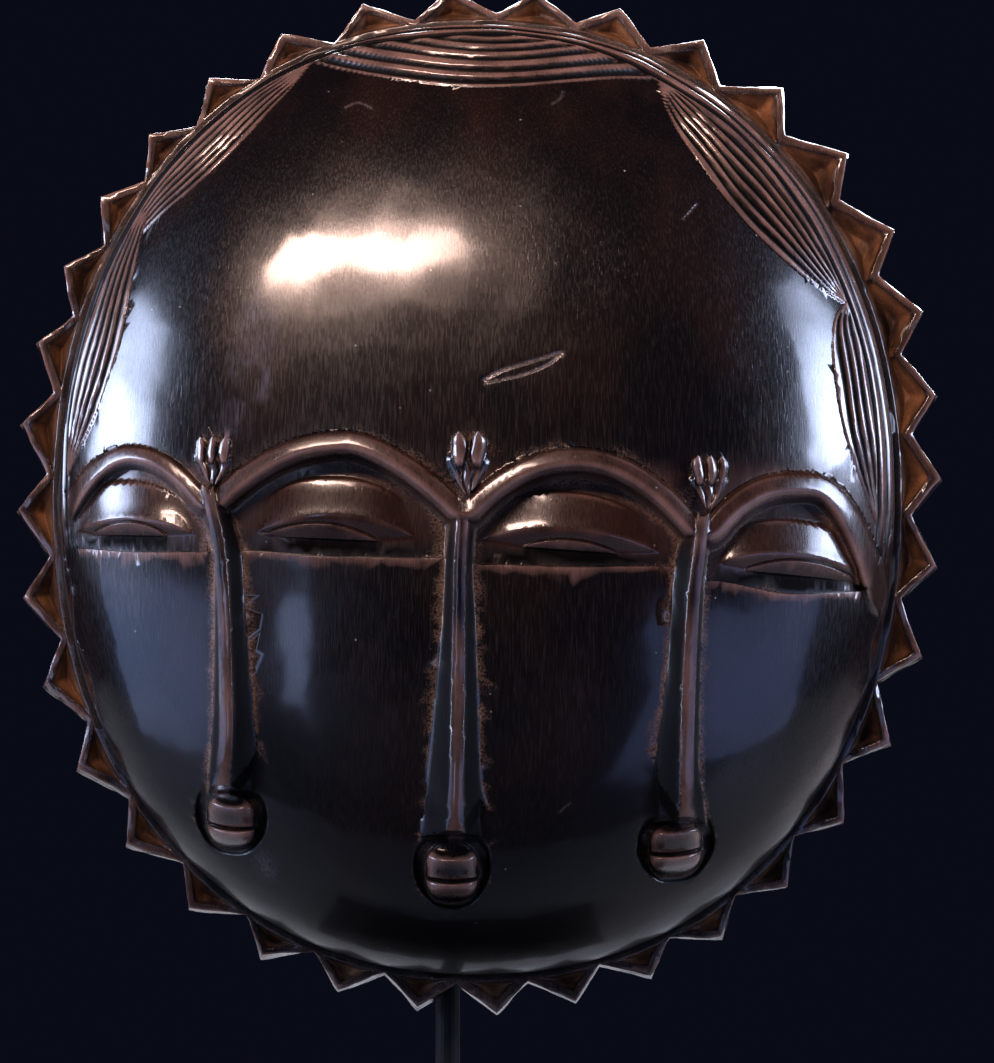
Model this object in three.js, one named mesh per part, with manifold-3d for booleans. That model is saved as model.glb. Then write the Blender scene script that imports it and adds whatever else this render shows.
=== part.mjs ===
// Carved wooden moon mask with a toothed rim, four closed eyes, three long noses and three
// mouths, held upright on a thin steel rod with a flat foot.
//
// Units are millimetres, +Z up. The mask looks along -Y. The origin is the middle of the
// underside of the foot.
import * as THREE from 'three';
import { mergeVertices } from 'three/addons/utils/BufferGeometryUtils.js';
import Module from 'manifold-3d';

// ---------------------------------------------------------------- driving sizes, millimetres
const RIM = 12;              // thickness of the toothed rim
const FLARE = 4.2;           // the rim's outer wall spreads this much from front to back
const LEDGE = 2.2;           // narrow ledge between the dome's foot and the tooth pits
const PIT = 5.6;             // depth of the cut in each tooth
const DOME_A = 137.8;        // half width of the dome's foot
const DOME_B = 157;          // half height of the dome's foot
const DOME_U = -1.2;         // centre of the dome, right of the mask's centre
const DOME_V = 1.6;          // centre of the dome, above the mask's centre
const SQUARE = 2.15;         // fullness of the dome's outline (2 is an ellipse)
const FOREHEAD = 68;         // rise of the forehead above the rim
const CHEEK = 60;            // rise of the cheeks above the rim
const WALL = 13;             // width of the flat band behind the rim, inside the dome's foot
const HOLLOW = 58;           // depth of the hollow back
const POLE_V = 55;           // height on the forehead where the grid's rows shrink to a point

const MASK_Z = 238;          // height of the mask's centre above the floor
const MASK_X = 11;           // the mask's centre stands this far right of the rod
const ROD_R = 4;             // radius of the rod
const ROD_Y = 29;            // the rod stands this far behind the middle of the foot
const ROD_W = -4.3;          // the rod's axis behind the back plane of the rim
const GAP = 0.3;             // clearance between touching pieces
const BAR_R = 3.5;           // radius of the crossbar
const BAR_HALF = 55;         // half length of the crossbar
const BAR_W = 18;            // how far the crossbar reaches into the hollow
const FOOT_X = 160, FOOT_Y = 120, FOOT_Z = 12;   // flat foot
const SOCKET_DEPTH = 8;      // blind hole for the rod in the foot

// Number of teeth, and the hand-cut spacing of their tips and of the notches between them.
// Each row: mean, then cosine and sine of one to six turns around the rim; angles in
// degrees off an even spacing, clockwise from the top, and radii in millimetres.
const TEETH = 36;
const TIP_TURN = [-2.19, -0.94, 0.07, -0.54, -2.03, -0.15, 0.95, -0.13, 0, 0.18, -0.19, 0.15, -0.01];
const TIP_RADIUS = [164.45, 2.64, 0.41, 8.07, 2.14, -0.65, 0.44, -1.49, -0.31, -0.02, -0.42, 0.39, -0.34];
const NOTCH_TURN = [-2.5, -0.96, 0.02, 0.14, -2.77, -0.11, 1.07, 0.1, -0.07, 0.23, -0.01, 0.13, 0.13];
const NOTCH_RADIUS = [154.1, 3.07, -0.26, 8.24, 2.07, -0.97, 0.19, -0.89, -0.4, 0.04, 0.25, 0.46, 0.12];

// The carving was laid out on a flat front view, in steps of a third of a millimetre, x to
// the right and y downwards, with the mask's centre at (SHEET_X, SHEET_Y). The sheet is a
// central projection from SHEET_DISTANCE in front and a little below.
const STEP = 1 / 3;
const SHEET_X = 481, SHEET_Y = 505;
const SHEET_DISTANCE = 1550;
const SHEET_TILT = 4 * Math.PI / 180;

// Brow arches, in layout steps: left foot, apex, right foot, how full each side is, and the
// width of the band from its crease down to the eye socket.
const BROWS = [
  { xl: 56, yl: 507, xa: 130, ya: 444.5, xr: 209, yr: 493, nl: 2.0, nr: 2.1, band: 24 },
  { xl: 209, yl: 493, xa: 347, ya: 430, xr: 464, yr: 500, nl: 2.15, nr: 1.66, band: 27 },
  { xl: 464, yl: 500, xa: 575, ya: 447, xr: 700, yr: 518, nl: 2.15, nr: 2.1, band: 27 },
  { xl: 705, yl: 518, xa: 802, ya: 471, xr: 892, yr: 592, nl: 2.6, nr: 2.6, band: 31 },
];
// Noses, in layout steps: at rows y, the left edge, the ridge and the right edge.
const NOSES = [
  { y: [492, 550, 600, 700, 740, 765, 788], l: [196, 212, 213, 212, 210, 209, 209],
    c: [209, 219, 222, 224, 224, 222, 220], r: [222, 241, 244, 251, 258, 267, 271], rise: 9.0, tip: 12.5 },
  { y: [500, 560, 620, 700, 780, 810, 833], l: [450, 445, 441, 432, 424, 420, 419],
    c: [464, 460, 459, 458, 457, 456, 456], r: [478, 473, 476, 480, 483, 490, 493], rise: 9.4, tip: 13.0 },
  { y: [517, 560, 600, 650, 720, 770, 800, 819], l: [690, 676, 671, 668, 660, 652, 643, 641],
    c: [702, 698, 693, 690, 687, 686, 686, 687], r: [714, 706, 704, 701, 699, 700, 704, 706], rise: 9.0, tip: 12.5 },
];
// Closed eyes, in layout steps: corners, apex of the lid, rise of the lid and of its crisp
// lower edge above the slit, the lens under it, and the top edge of the cheek.
const EYES = [
  { xl: 71, yl: 534, xr: 201, yr: 537, xa: 130, lid: 57, edge: 23, la: 91, lb: 167, lens: 12, ledge: [547, 551, 551] },
  { xl: 248, yl: 535, xr: 424, yr: 543, xa: 340, lid: 65, edge: 35, la: 262, lb: 378, lens: 14, ledge: [550, 556, 557] },
  { xl: 472, yl: 543, xr: 668, yr: 557, xa: 570, lid: 60, edge: 32, la: 523, lb: 617, lens: 9, ledge: [563, 566, 565] },
  { xl: 711, yl: 567, xr: 876, yr: 583, xa: 797, lid: 57, edge: 29, la: 745, lb: 860, lens: 14, ledge: [580, 593, 590] },
];
// Mouths, in layout steps: centre, half width, half height, line between the lips, slant.
const MOUTHS = [
  { x: 236, y: 823, a: 30, b: 27, lip: 829, slant: 0.14 },
  { x: 454, y: 874, a: 31, b: 30, lip: 884, slant: 0 },
  { x: 675, y: 850, a: 31, b: 29, lip: 855, slant: -0.1 },
];
// Small ribbed tufts above the joints of the brows, in layout steps.
const TUFTS = [
  { x: 213, top: 437, foot: 486, half: 18 },
  { x: 469, top: 434, foot: 494, half: 20 },
  { x: 708, top: 456, foot: 510, half: 17 },
];

// ---------------------------------------------------------------- small helpers
const { abs, sin, cos, tan, sqrt, pow, min, max, hypot, atan2, PI, exp } = Math;
const clamp = (x, a, b) => min(max(x, a), b);
const ease = (a, b, x) => { const t = clamp((x - a) / (b - a), 0, 1); return t * t * (3 - 2 * t); };
const mix = (a, b, t) => a + (b - a) * t;
const softMax = (a, b, k) => { const h = max(k - abs(a - b), 0) / k; return max(a, b) + h * h * k / 4; };
const series = (c, turn) => {
  let s = c[0];
  for (let k = 1; k <= 6; k++) s += c[2 * k - 1] * cos(k * turn) + c[2 * k] * sin(k * turn);
  return s;
};
function along(xs, ys, x) {                       // smooth curve through a short row of stations
  const n = xs.length;
  if (x <= xs[0]) return ys[0];
  if (x >= xs[n - 1]) return ys[n - 1];
  let i = 0;
  while (x > xs[i + 1]) i++;
  const h = xs[i + 1] - xs[i], t = (x - xs[i]) / h;
  const slope = (j) => (j <= 0 ? (ys[1] - ys[0]) / (xs[1] - xs[0])
    : j >= n - 1 ? (ys[n - 1] - ys[n - 2]) / (xs[n - 1] - xs[n - 2])
      : (ys[j + 1] - ys[j - 1]) / (xs[j + 1] - xs[j - 1]));
  const a = slope(i) * h, b = slope(i + 1) * h;
  return ys[i] + t * (a + t * (3 * (ys[i + 1] - ys[i]) - 2 * a - b + t * (2 * (ys[i] - ys[i + 1]) + a + b)));
}

// ---------------------------------------------------------------- outlines
const polar = (r, turn) => [r * sin(turn), r * cos(turn)];       // clockwise from the top
function rimPoint(t, inset) {                     // t counts teeth; whole at tips, half at notches
  const at = (j) => {                             // j counts half teeth
    const tip = j % 2 === 0, even = j * PI / TEETH;
    const turn = even + series(tip ? TIP_TURN : NOTCH_TURN, even) * PI / 180;
    let r = series(tip ? TIP_RADIUS : NOTCH_RADIUS, even) - inset * (tip ? 1.06 : 0.85);
    if (!tip) r = max(r, domeRadius(turn) + LEDGE);
    return polar(r, turn);
  };
  const j = Math.floor(t * 2 + 1e-9), f = t * 2 - j, p = at(j), q = at(j + 1);
  return [mix(p[0], q[0], f), mix(p[1], q[1], f)];
}
function ovalRadius(turn, a, b) {
  // distance from the mask's centre to an oval about the dome's centre
  const s = sin(turn), c = cos(turn);
  let r = (a + b) / 2;
  for (let k = 0; k < 12; k++) {
    const u = r * s - DOME_U, v = r * c - DOME_V;
    const rho = pow(pow(abs(u / a), SQUARE) + pow(abs(v / b), SQUARE), 1 / SQUARE);
    r += (1 - rho) * min(a, b) * 0.95;
  }
  return r;
}
const domeRadius = (turn) => ovalRadius(turn, DOME_A, DOME_B);

// ---------------------------------------------------------------- the dome and the face
function rhoOf(u, v, a, b) {
  return pow(pow(abs((u - DOME_U) / a), SQUARE) + pow(abs((v - DOME_V) / b), SQUARE), 1 / SQUARE);
}
const forehead = (rho) => RIM + FOREHEAD * sqrt(max(0, 1 - pow(rho, 2.5)));
function cheek(rho, v) {
  const down = clamp(-(v - DOME_V) / DOME_B / max(rho, 1e-6), 0, 1), s = down * down;
  return RIM + CHEEK * pow(max(0, 1 - pow(rho, 2.8 + 2.7 * s)), 1 / (2 + 0.4 * s));
}
function sheet(u, v, w) {
  const depth = SHEET_DISTANCE - (w * cos(SHEET_TILT) - v * sin(SHEET_TILT));
  const k = SHEET_DISTANCE / depth / STEP;
  return [SHEET_X + u * k, SHEET_Y - (v * cos(SHEET_TILT) + w * sin(SHEET_TILT)) * k];
}
function archY(b, x) {
  return x < b.xa ? b.ya + (b.yl - b.ya) * pow((b.xa - x) / (b.xa - b.xl), b.nl)
    : b.ya + (b.yr - b.ya) * pow((x - b.xa) / (b.xr - b.xa), b.nr);
}
const BROW_LINES = BROWS.map((b) => {
  const pts = [];
  for (let i = 0; i <= 28; i++) {
    const x = mix(b.xl, b.xr, (1 - cos(PI * i / 28)) / 2);
    pts.push([x, archY(b, x)]);
  }
  return pts;
});
function browDistance(x, y) {                     // signed steps: above the crease is positive
  let best = 1e9, band = 27;
  BROWS.forEach((b, k) => {
    const pts = BROW_LINES[k];
    for (let i = 0; i + 1 < pts.length; i++) {
      const [ax, ay] = pts[i], [bx, by] = pts[i + 1];
      const dx = bx - ax, dy = by - ay;
      const t = clamp(((x - ax) * dx + (y - ay) * dy) / (dx * dx + dy * dy), 0, 1);
      const d = hypot(x - ax - t * dx, y - ay - t * dy);
      if (d < best) { best = d; band = b.band; }
    }
  });
  const xc = clamp(x, BROWS[0].xl, BROWS[3].xr);
  let crease = 1e9;
  BROWS.forEach((b, k) => {
    const lo = k === 0 ? -1e9 : k === 3 ? 702.5 : b.xl, hi = k === 3 ? 1e9 : k === 2 ? 702.5 : b.xr;
    if (xc >= lo && xc <= hi) crease = min(crease, archY(b, clamp(xc, b.xl, b.xr)));
  });
  return [y > crease ? -best : best, band];
}

function noseHeight(x, y) {                       // rise above the cheek, millimetres
  let h = -2;
  for (const n of NOSES) {
    const y0 = n.y[0], y1 = n.y[n.y.length - 1];
    if (y < y0 - 30 || y > y1 + 12) continue;
    const l = along(n.y, n.l, y), c = along(n.y, n.c, y), r = along(n.y, n.r, y);
    if (x < l - 6 || x > r + 6) continue;
    const f = x < c ? (x - l) / (c - l) : (r - x) / (r - c);
    const d = abs(x - c);
    const down = clamp((y - y0) / (y1 - y0), 0, 1);
    const top = n.rise - 1.2 * sin(PI * min(down / 0.8, 1)) + (n.tip - n.rise) * ease(0.6, 1, down);
    const bar = top * (1 - pow(min(d / mix(9.5, 11, down), 1.25), 2.6));
    const skirt = f <= 0 ? f * 6 : top * 0.48 * pow(f, 0.9) * mix(1, 0.8, down);
    let wing = -2;
    for (const s of [-1, 1]) {
      const room = s < 0 ? c - l : r - c;
      const wx = c + s * room * 0.56, wy = y1 - 17, rx = room * 0.5, ry = 19;
      const q = pow((x - wx) / rx, 2) + pow((y - wy) / ry, 2);
      if (q < 1) wing = max(wing, n.tip * 0.62 * sqrt(1 - q) + 0.6);
    }
    let k = softMax(softMax(bar, skirt, 1.6), wing, 1.2);
    k = min(k, (y1 - y + 3.5) * 2.2);             // the underside of the nose
    h = max(h, k);
  }
  return h;
}

function mouthHeight(x, y) {
  let h = 0;
  for (const m of MOUTHS) {
    const dx = x - m.x, dy = y - m.y - dx * m.slant;
    const q = pow(pow(abs(dx / m.a), 2.6) + pow(abs(dy / m.b), 2.6), 1 / 2.6);
    if (q > 1.7) continue;
    const moat = -2.2 * ease(1.5, 1.2, q) * ease(-m.b, -m.b * 0.4, dy);
    const lipDy = y - m.lip - dx * m.slant;
    const body = 7.2 * pow(max(0, 1 - pow(q, 3)), 0.5);
    const gap = -2.2 * exp(-pow(lipDy / 3.2, 2)) * ease(1, 0.7, abs(dx) / m.a);
    h = q < 1 ? max(moat, moat + body + gap + 1.2) : moat;
    if (q < 1) h = moat + (body + gap) * 1;
  }
  return h;
}

function eyeHeight(x, y, rho) {                   // relief of the sockets, relative to the cheek
  let h = 0;
  for (let k = 0; k < EYES.length; k++) {
    const e = EYES[k];
    const left = k === 0 ? -1e9 : (BROWS[k].xl), right = k === 3 ? 1e9 : BROWS[k].xr;
    if (x < left || x > right) continue;
    const t = clamp((x - e.xl) / (e.xr - e.xl), 0, 1);
    const ledge = t < 0.5 ? mix(e.ledge[0], e.ledge[1], ease(0, 0.5, t)) : mix(e.ledge[1], e.ledge[2], ease(0.5, 1, t));
    if (y > ledge + 2) return 0;
    const slit = mix(e.yl, e.yr, (x - e.xl) / (e.xr - e.xl));
    const drop = -4.6 * (1 - 0.35 * ease(slit - 20, slit - 60, y)) * ease(ledge + 1.5, ledge - 2.5, y);
    h = drop;
    const hw = x < e.xa ? e.xa - e.xl : e.xr - e.xa;
    const xi = abs(x - e.xa) / hw;
    if (xi < 1 && y < slit + 3) {
      const top = slit - e.lid * pow(1 - pow(xi, x < e.xa ? 2.3 : 2.05), 0.5);
      const edge = slit - e.edge * (1 - pow(xi, 2.2));
      if (y >= top) {
        const bulge = 7.4 * pow(1 - pow(xi, 4), 0.5);
        let lid;
        if (y <= edge) lid = bulge * pow(sin(PI / 2 * clamp((y - top) / max(edge - top, 1), 0, 1)), 0.75);
        else lid = bulge * mix(1, 0.38, pow(clamp((y - edge) / max(slit - edge, 1), 0, 1), 0.8));
        lid *= ease(slit + 2.5, slit - 0.5, y);
        h = max(h, drop + lid);
      }
    }
  }
  return h;
}

function tuftHeight(x, y) {
  let h = 0;
  for (const s of TUFTS) {
    const f = (y - s.top) / (s.foot - s.top);
    if (f < 0 || f > 1) continue;
    const half = s.half * (f < 0.45 ? 1 : mix(1, 0.12, (f - 0.45) / 0.55));
    const d = abs(x - s.x) / half;
    if (d < 1) h = max(h, 2.4 * sqrt(1 - pow(d, 4)) * ease(0, 0.12, f) * ease(1, 0.85, f));
  }
  return h;
}

function frontHeight(u, v) {
  const rho = rhoOf(u, v, DOME_A, DOME_B);
  const wf = forehead(rho), wc = cheek(rho, v);
  const [x, y] = sheet(u, v, mix(wc, wf, ease(-20, 40, v)));
  if (y < 400) return wf;
  const fade = ease(1, 0.93, rho);                // carving fades out at the dome's foot
  const [e, band] = y > 640 ? [-1e3, 27] : browDistance(x, y);
  if (e > 0) return wf + fade * (tuftHeight(x, y) - 1.3 * exp(-pow(e / 12, 2)));
  const t = -e * 26 / band;
  const brow = wf - fade * 1.3 * exp(-pow(t / 3, 2)) + fade * (1.8 * exp(-pow((t - 8) / 6.5, 2)) - 0.25 * pow(max(0, t - 8), 1.35));
  const panel = wc + fade * (eyeHeight(x, y, rho) + mouthHeight(x, y));
  const nose = wc + fade * noseHeight(x, y);
  let w = softMax(nose, panel, 0.8);
  if (t < 60) w = softMax(w, brow, 1.0);
  return max(w, RIM);
}

// ---------------------------------------------------------------- the closed grid
// Rows of the grid, from the forehead's pole outwards over the dome, the ledge and the tooth
// pits, down the rim's outer wall, inwards along the flat back and up into the hollow.
const ROWS = { dome: 8, ledge: 1, pit: 1, wall: 1, back: 1, hollow: 3 };
const SPLITS = 5;
const LEVEL = 1 << SPLITS;
const NI = TEETH * LEVEL;
const NJ = Object.values(ROWS).reduce((a, b) => a + b, 0) * LEVEL;

const pitFloor = (foot, front, t, q) => {
  // a three-sided cut: depth grows away from the two outer edges and from the ledge
  const s = abs(t - Math.round(t)) * 2;           // 0 at the tip's line, 1 at the notches
  const outer = (1 - q) * (1 - s * 0.15), inner = q * 1.9, side = (1 - s) * 1.15;
  return PIT * min(1, 1.25 * min(outer, inner, side));
};
function gridPoint(i, j) {
  const t = i / LEVEL - 0.5;                      // a column of cells runs from notch to notch
  const tw = (t + TEETH) % TEETH;
  const outer = rimPoint(tw, 0), front = rimPoint(tw, FLARE);
  const turn = atan2(outer[0], outer[1]);
  const foot = polar(domeRadius(turn), turn);
  let row = j / LEVEL;
  if (row <= ROWS.dome) {
    const s = row / ROWS.dome, r = s * (2 - s);
    const u = foot[0] * r, v = mix(POLE_V, foot[1], r);
    return [u, v, j === ROWS.dome * LEVEL ? RIM : frontHeight(u, v)];
  }
  row -= ROWS.dome;
  const shelf = polar(domeRadius(turn) + LEDGE * 0.8, turn);
  if (row <= ROWS.ledge) {
    const q = row / ROWS.ledge;
    return [mix(foot[0], shelf[0], q), mix(foot[1], shelf[1], q), RIM];
  }
  row -= ROWS.ledge;
  if (row <= ROWS.pit) {
    const q = row / ROWS.pit;
    return [mix(shelf[0], front[0], q), mix(shelf[1], front[1], q), RIM - pitFloor(shelf, front, tw, q)];
  }
  row -= ROWS.pit;
  if (row <= ROWS.wall) {
    const q = row / ROWS.wall;
    return [mix(front[0], outer[0], q), mix(front[1], outer[1], q), RIM * (1 - q)];
  }
  row -= ROWS.wall;
  const mouth = polar(ovalRadius(turn, DOME_A - WALL, DOME_B - WALL), turn);
  if (row <= ROWS.back) {
    const q = row / ROWS.back;
    return [mix(outer[0], mouth[0], q), mix(outer[1], mouth[1], q), 0];
  }
  row -= ROWS.back;
  const s = 1 - row / ROWS.hollow, r = s * (2 - s);
  const u = mouth[0] * r, v = mix(POLE_V, mouth[1], r);
  const rho = rhoOf(u, v, DOME_A - WALL, DOME_B - WALL);
  return [u, v, r === 1 ? 0 : HOLLOW * sqrt(max(0, 1 - pow(rho, 4)))];
}

// Cells are halved both ways wherever the carved surface leaves the flat cell by more than
// the tolerance; neighbours differ by one halving at most.
function carveMask(tolerance) {
  const P = new Float64Array(NI * (NJ + 1) * 3);
  for (let j = 0; j <= NJ; j++) {
    for (let i = 0; i < NI; i++) P.set(gridPoint(i, j), 3 * (j * NI + i));
  }
  const at = (i, j) => { const k = 3 * (j * NI + ((i % NI) + NI) % NI); return [P[k], P[k + 1], P[k + 2]]; };
  const split = [];                               // split[level][cell], level 0 is coarsest
  const error = (i, j, s) => {
    const a = at(i, j), b = at(i + s, j), c = at(i + s, j + s), d = at(i, j + s);
    const p = [c[0] - a[0], c[1] - a[1], c[2] - a[2]], q = [d[0] - b[0], d[1] - b[1], d[2] - b[2]];
    let n = [p[1] * q[2] - p[2] * q[1], p[2] * q[0] - p[0] * q[2], p[0] * q[1] - p[1] * q[0]];
    const len = hypot(...n) || 1;
    n = n.map((x) => x / len);
    const h = s / 2, off = (m, f, g) => {
      let e = 0;
      for (let k = 0; k < 3; k++) {
        const flat = mix(mix(a[k], b[k], f), mix(d[k], c[k], f), g);
        e += (m[k] - flat) * n[k];
      }
      return abs(e);
    };
    return max(off(at(i + h, j), 0.5, 0), off(at(i + s, j + h), 1, 0.5), off(at(i + h, j + s), 0.5, 1),
      off(at(i, j + h), 0, 0.5), off(at(i + h, j + h), 0.5, 0.5));
  };
  for (let L = SPLITS - 1; L >= 0; L--) {
    const s = LEVEL >> L, ni = NI / s, nj = NJ / s, flags = new Uint8Array(ni * nj);
    for (let j = 0; j < nj; j++) {
      for (let i = 0; i < ni; i++) {
        let want = error(i * s, j * s, s) > tolerance;
        if (!want && L < SPLITS - 1) {
          const f = split[L + 1];
          for (let dj = -1; dj <= 2 && !want; dj++) {
            for (let di = -1; di <= 2 && !want; di++) {
              const jj = 2 * j + dj;
              if (jj >= 0 && jj < 2 * nj && f[jj * 2 * ni + ((2 * i + di) + 2 * ni) % (2 * ni)]) want = true;
            }
          }
        }
        flags[j * ni + i] = want ? 1 : 0;
      }
    }
    split[L] = flags;
  }
  const isSplit = (L, i, j) => {
    const s = LEVEL >> L, ni = NI / s, nj = NJ / s;
    return L < SPLITS && j >= 0 && j < nj && split[L][j * ni + ((i % ni) + ni) % ni];
  };
  const names = new Map(), xyz = [], faces = [];
  const vertex = (i, j) => {
    const key = j === 0 ? -1 : j === NJ ? -2 : j * NI + ((i % NI) + NI) % NI;
    if (!names.has(key)) { names.set(key, xyz.length / 3); xyz.push(...at(j === 0 || j === NJ ? 0 : i, j)); }
    return names.get(key);
  };
  const face = (a, b, c) => { if (a !== b && b !== c && c !== a) faces.push(a, b, c); };
  const walk = (L, i, j) => {
    if (isSplit(L, i, j)) {
      for (let dj = 0; dj < 2; dj++) for (let di = 0; di < 2; di++) walk(L + 1, 2 * i + di, 2 * j + dj);
      return;
    }
    const s = LEVEL >> L, x = i * s, y = j * s, h = s / 2;
    const ring = [vertex(x, y)];
    if (isSplit(L, i, j - 1)) ring.push(vertex(x + h, y));
    ring.push(vertex(x + s, y));
    if (isSplit(L, i + 1, j)) ring.push(vertex(x + s, y + h));
    ring.push(vertex(x + s, y + s));
    if (isSplit(L, i, j + 1)) ring.push(vertex(x + h, y + s));
    ring.push(vertex(x, y + s));
    if (isSplit(L, i - 1, j)) ring.push(vertex(x, y + h));
    if (ring.length === 4) {
      const p = at(x, y), q = at(x + s, y), r = at(x + s, y + s), o = at(x, y + s);
      const m = s > 1 ? at(x + h, y + h) : null;
      const off = (g, k) => (m ? hypot(m[0] - (g[0] + k[0]) / 2, m[1] - (g[1] + k[1]) / 2, m[2] - (g[2] + k[2]) / 2)
        : hypot(g[0] - k[0], g[1] - k[1], g[2] - k[2]));
      if (off(p, r) <= off(q, o)) { face(ring[0], ring[1], ring[2]); face(ring[0], ring[2], ring[3]); }
      else { face(ring[1], ring[2], ring[3]); face(ring[1], ring[3], ring[0]); }
    } else {
      const c = vertex(x + h, y + h);
      for (let k = 0; k < ring.length; k++) face(c, ring[k], ring[(k + 1) % ring.length]);
    }
  };
  for (let j = 0; j < NJ / LEVEL; j++) for (let i = 0; i < TEETH; i++) walk(0, i, j);
  return { xyz, faces };
}

// Thins the carved mesh edge by edge, cheapest first, by the squared distance to the planes
// of the faces it stands for, until `target` faces are left. Creases keep their lines.
function thin(xyz, faces, target) {
  const nv = xyz.length / 3, nf = faces.length / 3, F = Int32Array.from(faces), X = Float64Array.from(xyz);
  const Q = new Float64Array(nv * 10), live = new Uint8Array(nf).fill(1), stamp = new Int32Array(nv);
  const around = Array.from({ length: nv }, () => new Set());
  const normalOf = (a, b, c) => {
    const ux = X[3 * b] - X[3 * a], uy = X[3 * b + 1] - X[3 * a + 1], uz = X[3 * b + 2] - X[3 * a + 2];
    const vx = X[3 * c] - X[3 * a], vy = X[3 * c + 1] - X[3 * a + 1], vz = X[3 * c + 2] - X[3 * a + 2];
    return [uy * vz - uz * vy, uz * vx - ux * vz, ux * vy - uy * vx];
  };
  for (let f = 0; f < nf; f++) {
    const a = F[3 * f], b = F[3 * f + 1], c = F[3 * f + 2], n = normalOf(a, b, c), len = hypot(...n);
    around[a].add(f); around[b].add(f); around[c].add(f);
    if (len < 1e-12) continue;
    const [x, y, z] = n.map((q) => q / len), d = -(x * X[3 * a] + y * X[3 * a + 1] + z * X[3 * a + 2]);
    const w = len / 2 + 0.02, k = [x * x, x * y, x * z, x * d, y * y, y * z, y * d, z * z, z * d, d * d];
    for (const v of [a, b, c]) for (let i = 0; i < 10; i++) Q[10 * v + i] += w * k[i];
  }
  const costAt = (q, x, y, z) => q[0] * x * x + 2 * q[1] * x * y + 2 * q[2] * x * z + 2 * q[3] * x
    + q[4] * y * y + 2 * q[5] * y * z + 2 * q[6] * y + q[7] * z * z + 2 * q[8] * z + q[9];
  const plan = (a, b) => {
    const q = [];
    for (let i = 0; i < 10; i++) q.push(Q[10 * a + i] + Q[10 * b + i]);
    const A = [X[3 * a], X[3 * a + 1], X[3 * a + 2]], B = [X[3 * b], X[3 * b + 1], X[3 * b + 2]];
    const M = A.map((x, i) => (x + B[i]) / 2), len = hypot(A[0] - B[0], A[1] - B[1], A[2] - B[2]);
    let best = null;
    const det = q[0] * (q[4] * q[7] - q[5] * q[5]) - q[1] * (q[1] * q[7] - q[5] * q[2]) + q[2] * (q[1] * q[5] - q[4] * q[2]);
    const tries = [M, A, B];
    if (abs(det) > 1e-3) {
      const r = [-q[3], -q[6], -q[8]];
      const x = (r[0] * (q[4] * q[7] - q[5] * q[5]) - q[1] * (r[1] * q[7] - q[5] * r[2]) + q[2] * (r[1] * q[5] - q[4] * r[2])) / det;
      const y = (q[0] * (r[1] * q[7] - q[5] * r[2]) - r[0] * (q[1] * q[7] - q[5] * q[2]) + q[2] * (q[1] * r[2] - r[1] * q[2])) / det;
      const z = (q[0] * (q[4] * r[2] - r[1] * q[5]) - q[1] * (q[1] * r[2] - r[1] * q[2]) + r[0] * (q[1] * q[5] - q[4] * q[2])) / det;
      if (hypot(x - M[0], y - M[1], z - M[2]) < len) tries.push([x, y, z]);
    }
    for (const p of tries) {
      const c = max(0, costAt(q, ...p)) + 1e-5 * len * len;
      if (!best || c < best.c) best = { c, p };
    }
    return best;
  };
  const heap = [];
  const push = (item) => {
    let i = heap.push(item) - 1;
    while (i > 0) { const p = (i - 1) >> 1; if (heap[p].c <= heap[i].c) break; [heap[p], heap[i]] = [heap[i], heap[p]]; i = p; }
  };
  const pop = () => {
    const top = heap[0], last = heap.pop();
    if (heap.length) {
      heap[0] = last;
      for (let i = 0; ;) {
        let m = i;
        if (2 * i + 1 < heap.length && heap[2 * i + 1].c < heap[m].c) m = 2 * i + 1;
        if (2 * i + 2 < heap.length && heap[2 * i + 2].c < heap[m].c) m = 2 * i + 2;
        if (m === i) break;
        [heap[m], heap[i]] = [heap[i], heap[m]]; i = m;
      }
    }
    return top;
  };
  const offer = (a, b) => { const { c, p } = plan(a, b); push({ c, p, a, b, s: stamp[a] + stamp[b] }); };
  const neighbours = (v) => { const s = new Set(); for (const f of around[v]) for (let k = 0; k < 3; k++) if (F[3 * f + k] !== v) s.add(F[3 * f + k]); return s; };
  for (let v = 0; v < nv; v++) for (const o of neighbours(v)) if (o > v) offer(v, o);
  let left = nf;
  while (left > target && heap.length) {
    const e = pop(), { a, b, p } = e;
    if (!around[a].size || !around[b].size || e.s !== stamp[a] + stamp[b]) continue;
    const na = neighbours(a), nb = neighbours(b);
    if (!na.has(b)) continue;
    let shared = 0;
    for (const v of na) if (nb.has(v)) shared++;
    if (shared !== 2) continue;
    let ok = true;
    for (const v of [a, b]) {
      for (const f of around[v]) {
        const t = [F[3 * f], F[3 * f + 1], F[3 * f + 2]];
        if (t.includes(a) && t.includes(b)) continue;
        const before = normalOf(...t), keep = [X[3 * v], X[3 * v + 1], X[3 * v + 2]];
        X[3 * v] = p[0]; X[3 * v + 1] = p[1]; X[3 * v + 2] = p[2];
        const after = normalOf(...t);
        X[3 * v] = keep[0]; X[3 * v + 1] = keep[1]; X[3 * v + 2] = keep[2];
        const dot = before[0] * after[0] + before[1] * after[1] + before[2] * after[2];
        const la = hypot(...after);
        if (la < 0.05 || dot < 0.35 * la * hypot(...before)) { ok = false; break; }
      }
      if (!ok) break;
    }
    if (!ok) continue;
    for (let i = 0; i < 10; i++) Q[10 * a + i] += Q[10 * b + i];
    X[3 * a] = p[0]; X[3 * a + 1] = p[1]; X[3 * a + 2] = p[2];
    for (const f of [...around[b]]) {
      let both = false;
      for (let k = 0; k < 3; k++) if (F[3 * f + k] === a) both = true;
      if (both) { for (let k = 0; k < 3; k++) around[F[3 * f + k]].delete(f); live[f] = 0; left--; continue; }
      for (let k = 0; k < 3; k++) if (F[3 * f + k] === b) F[3 * f + k] = a;
      around[a].add(f);
    }
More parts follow.
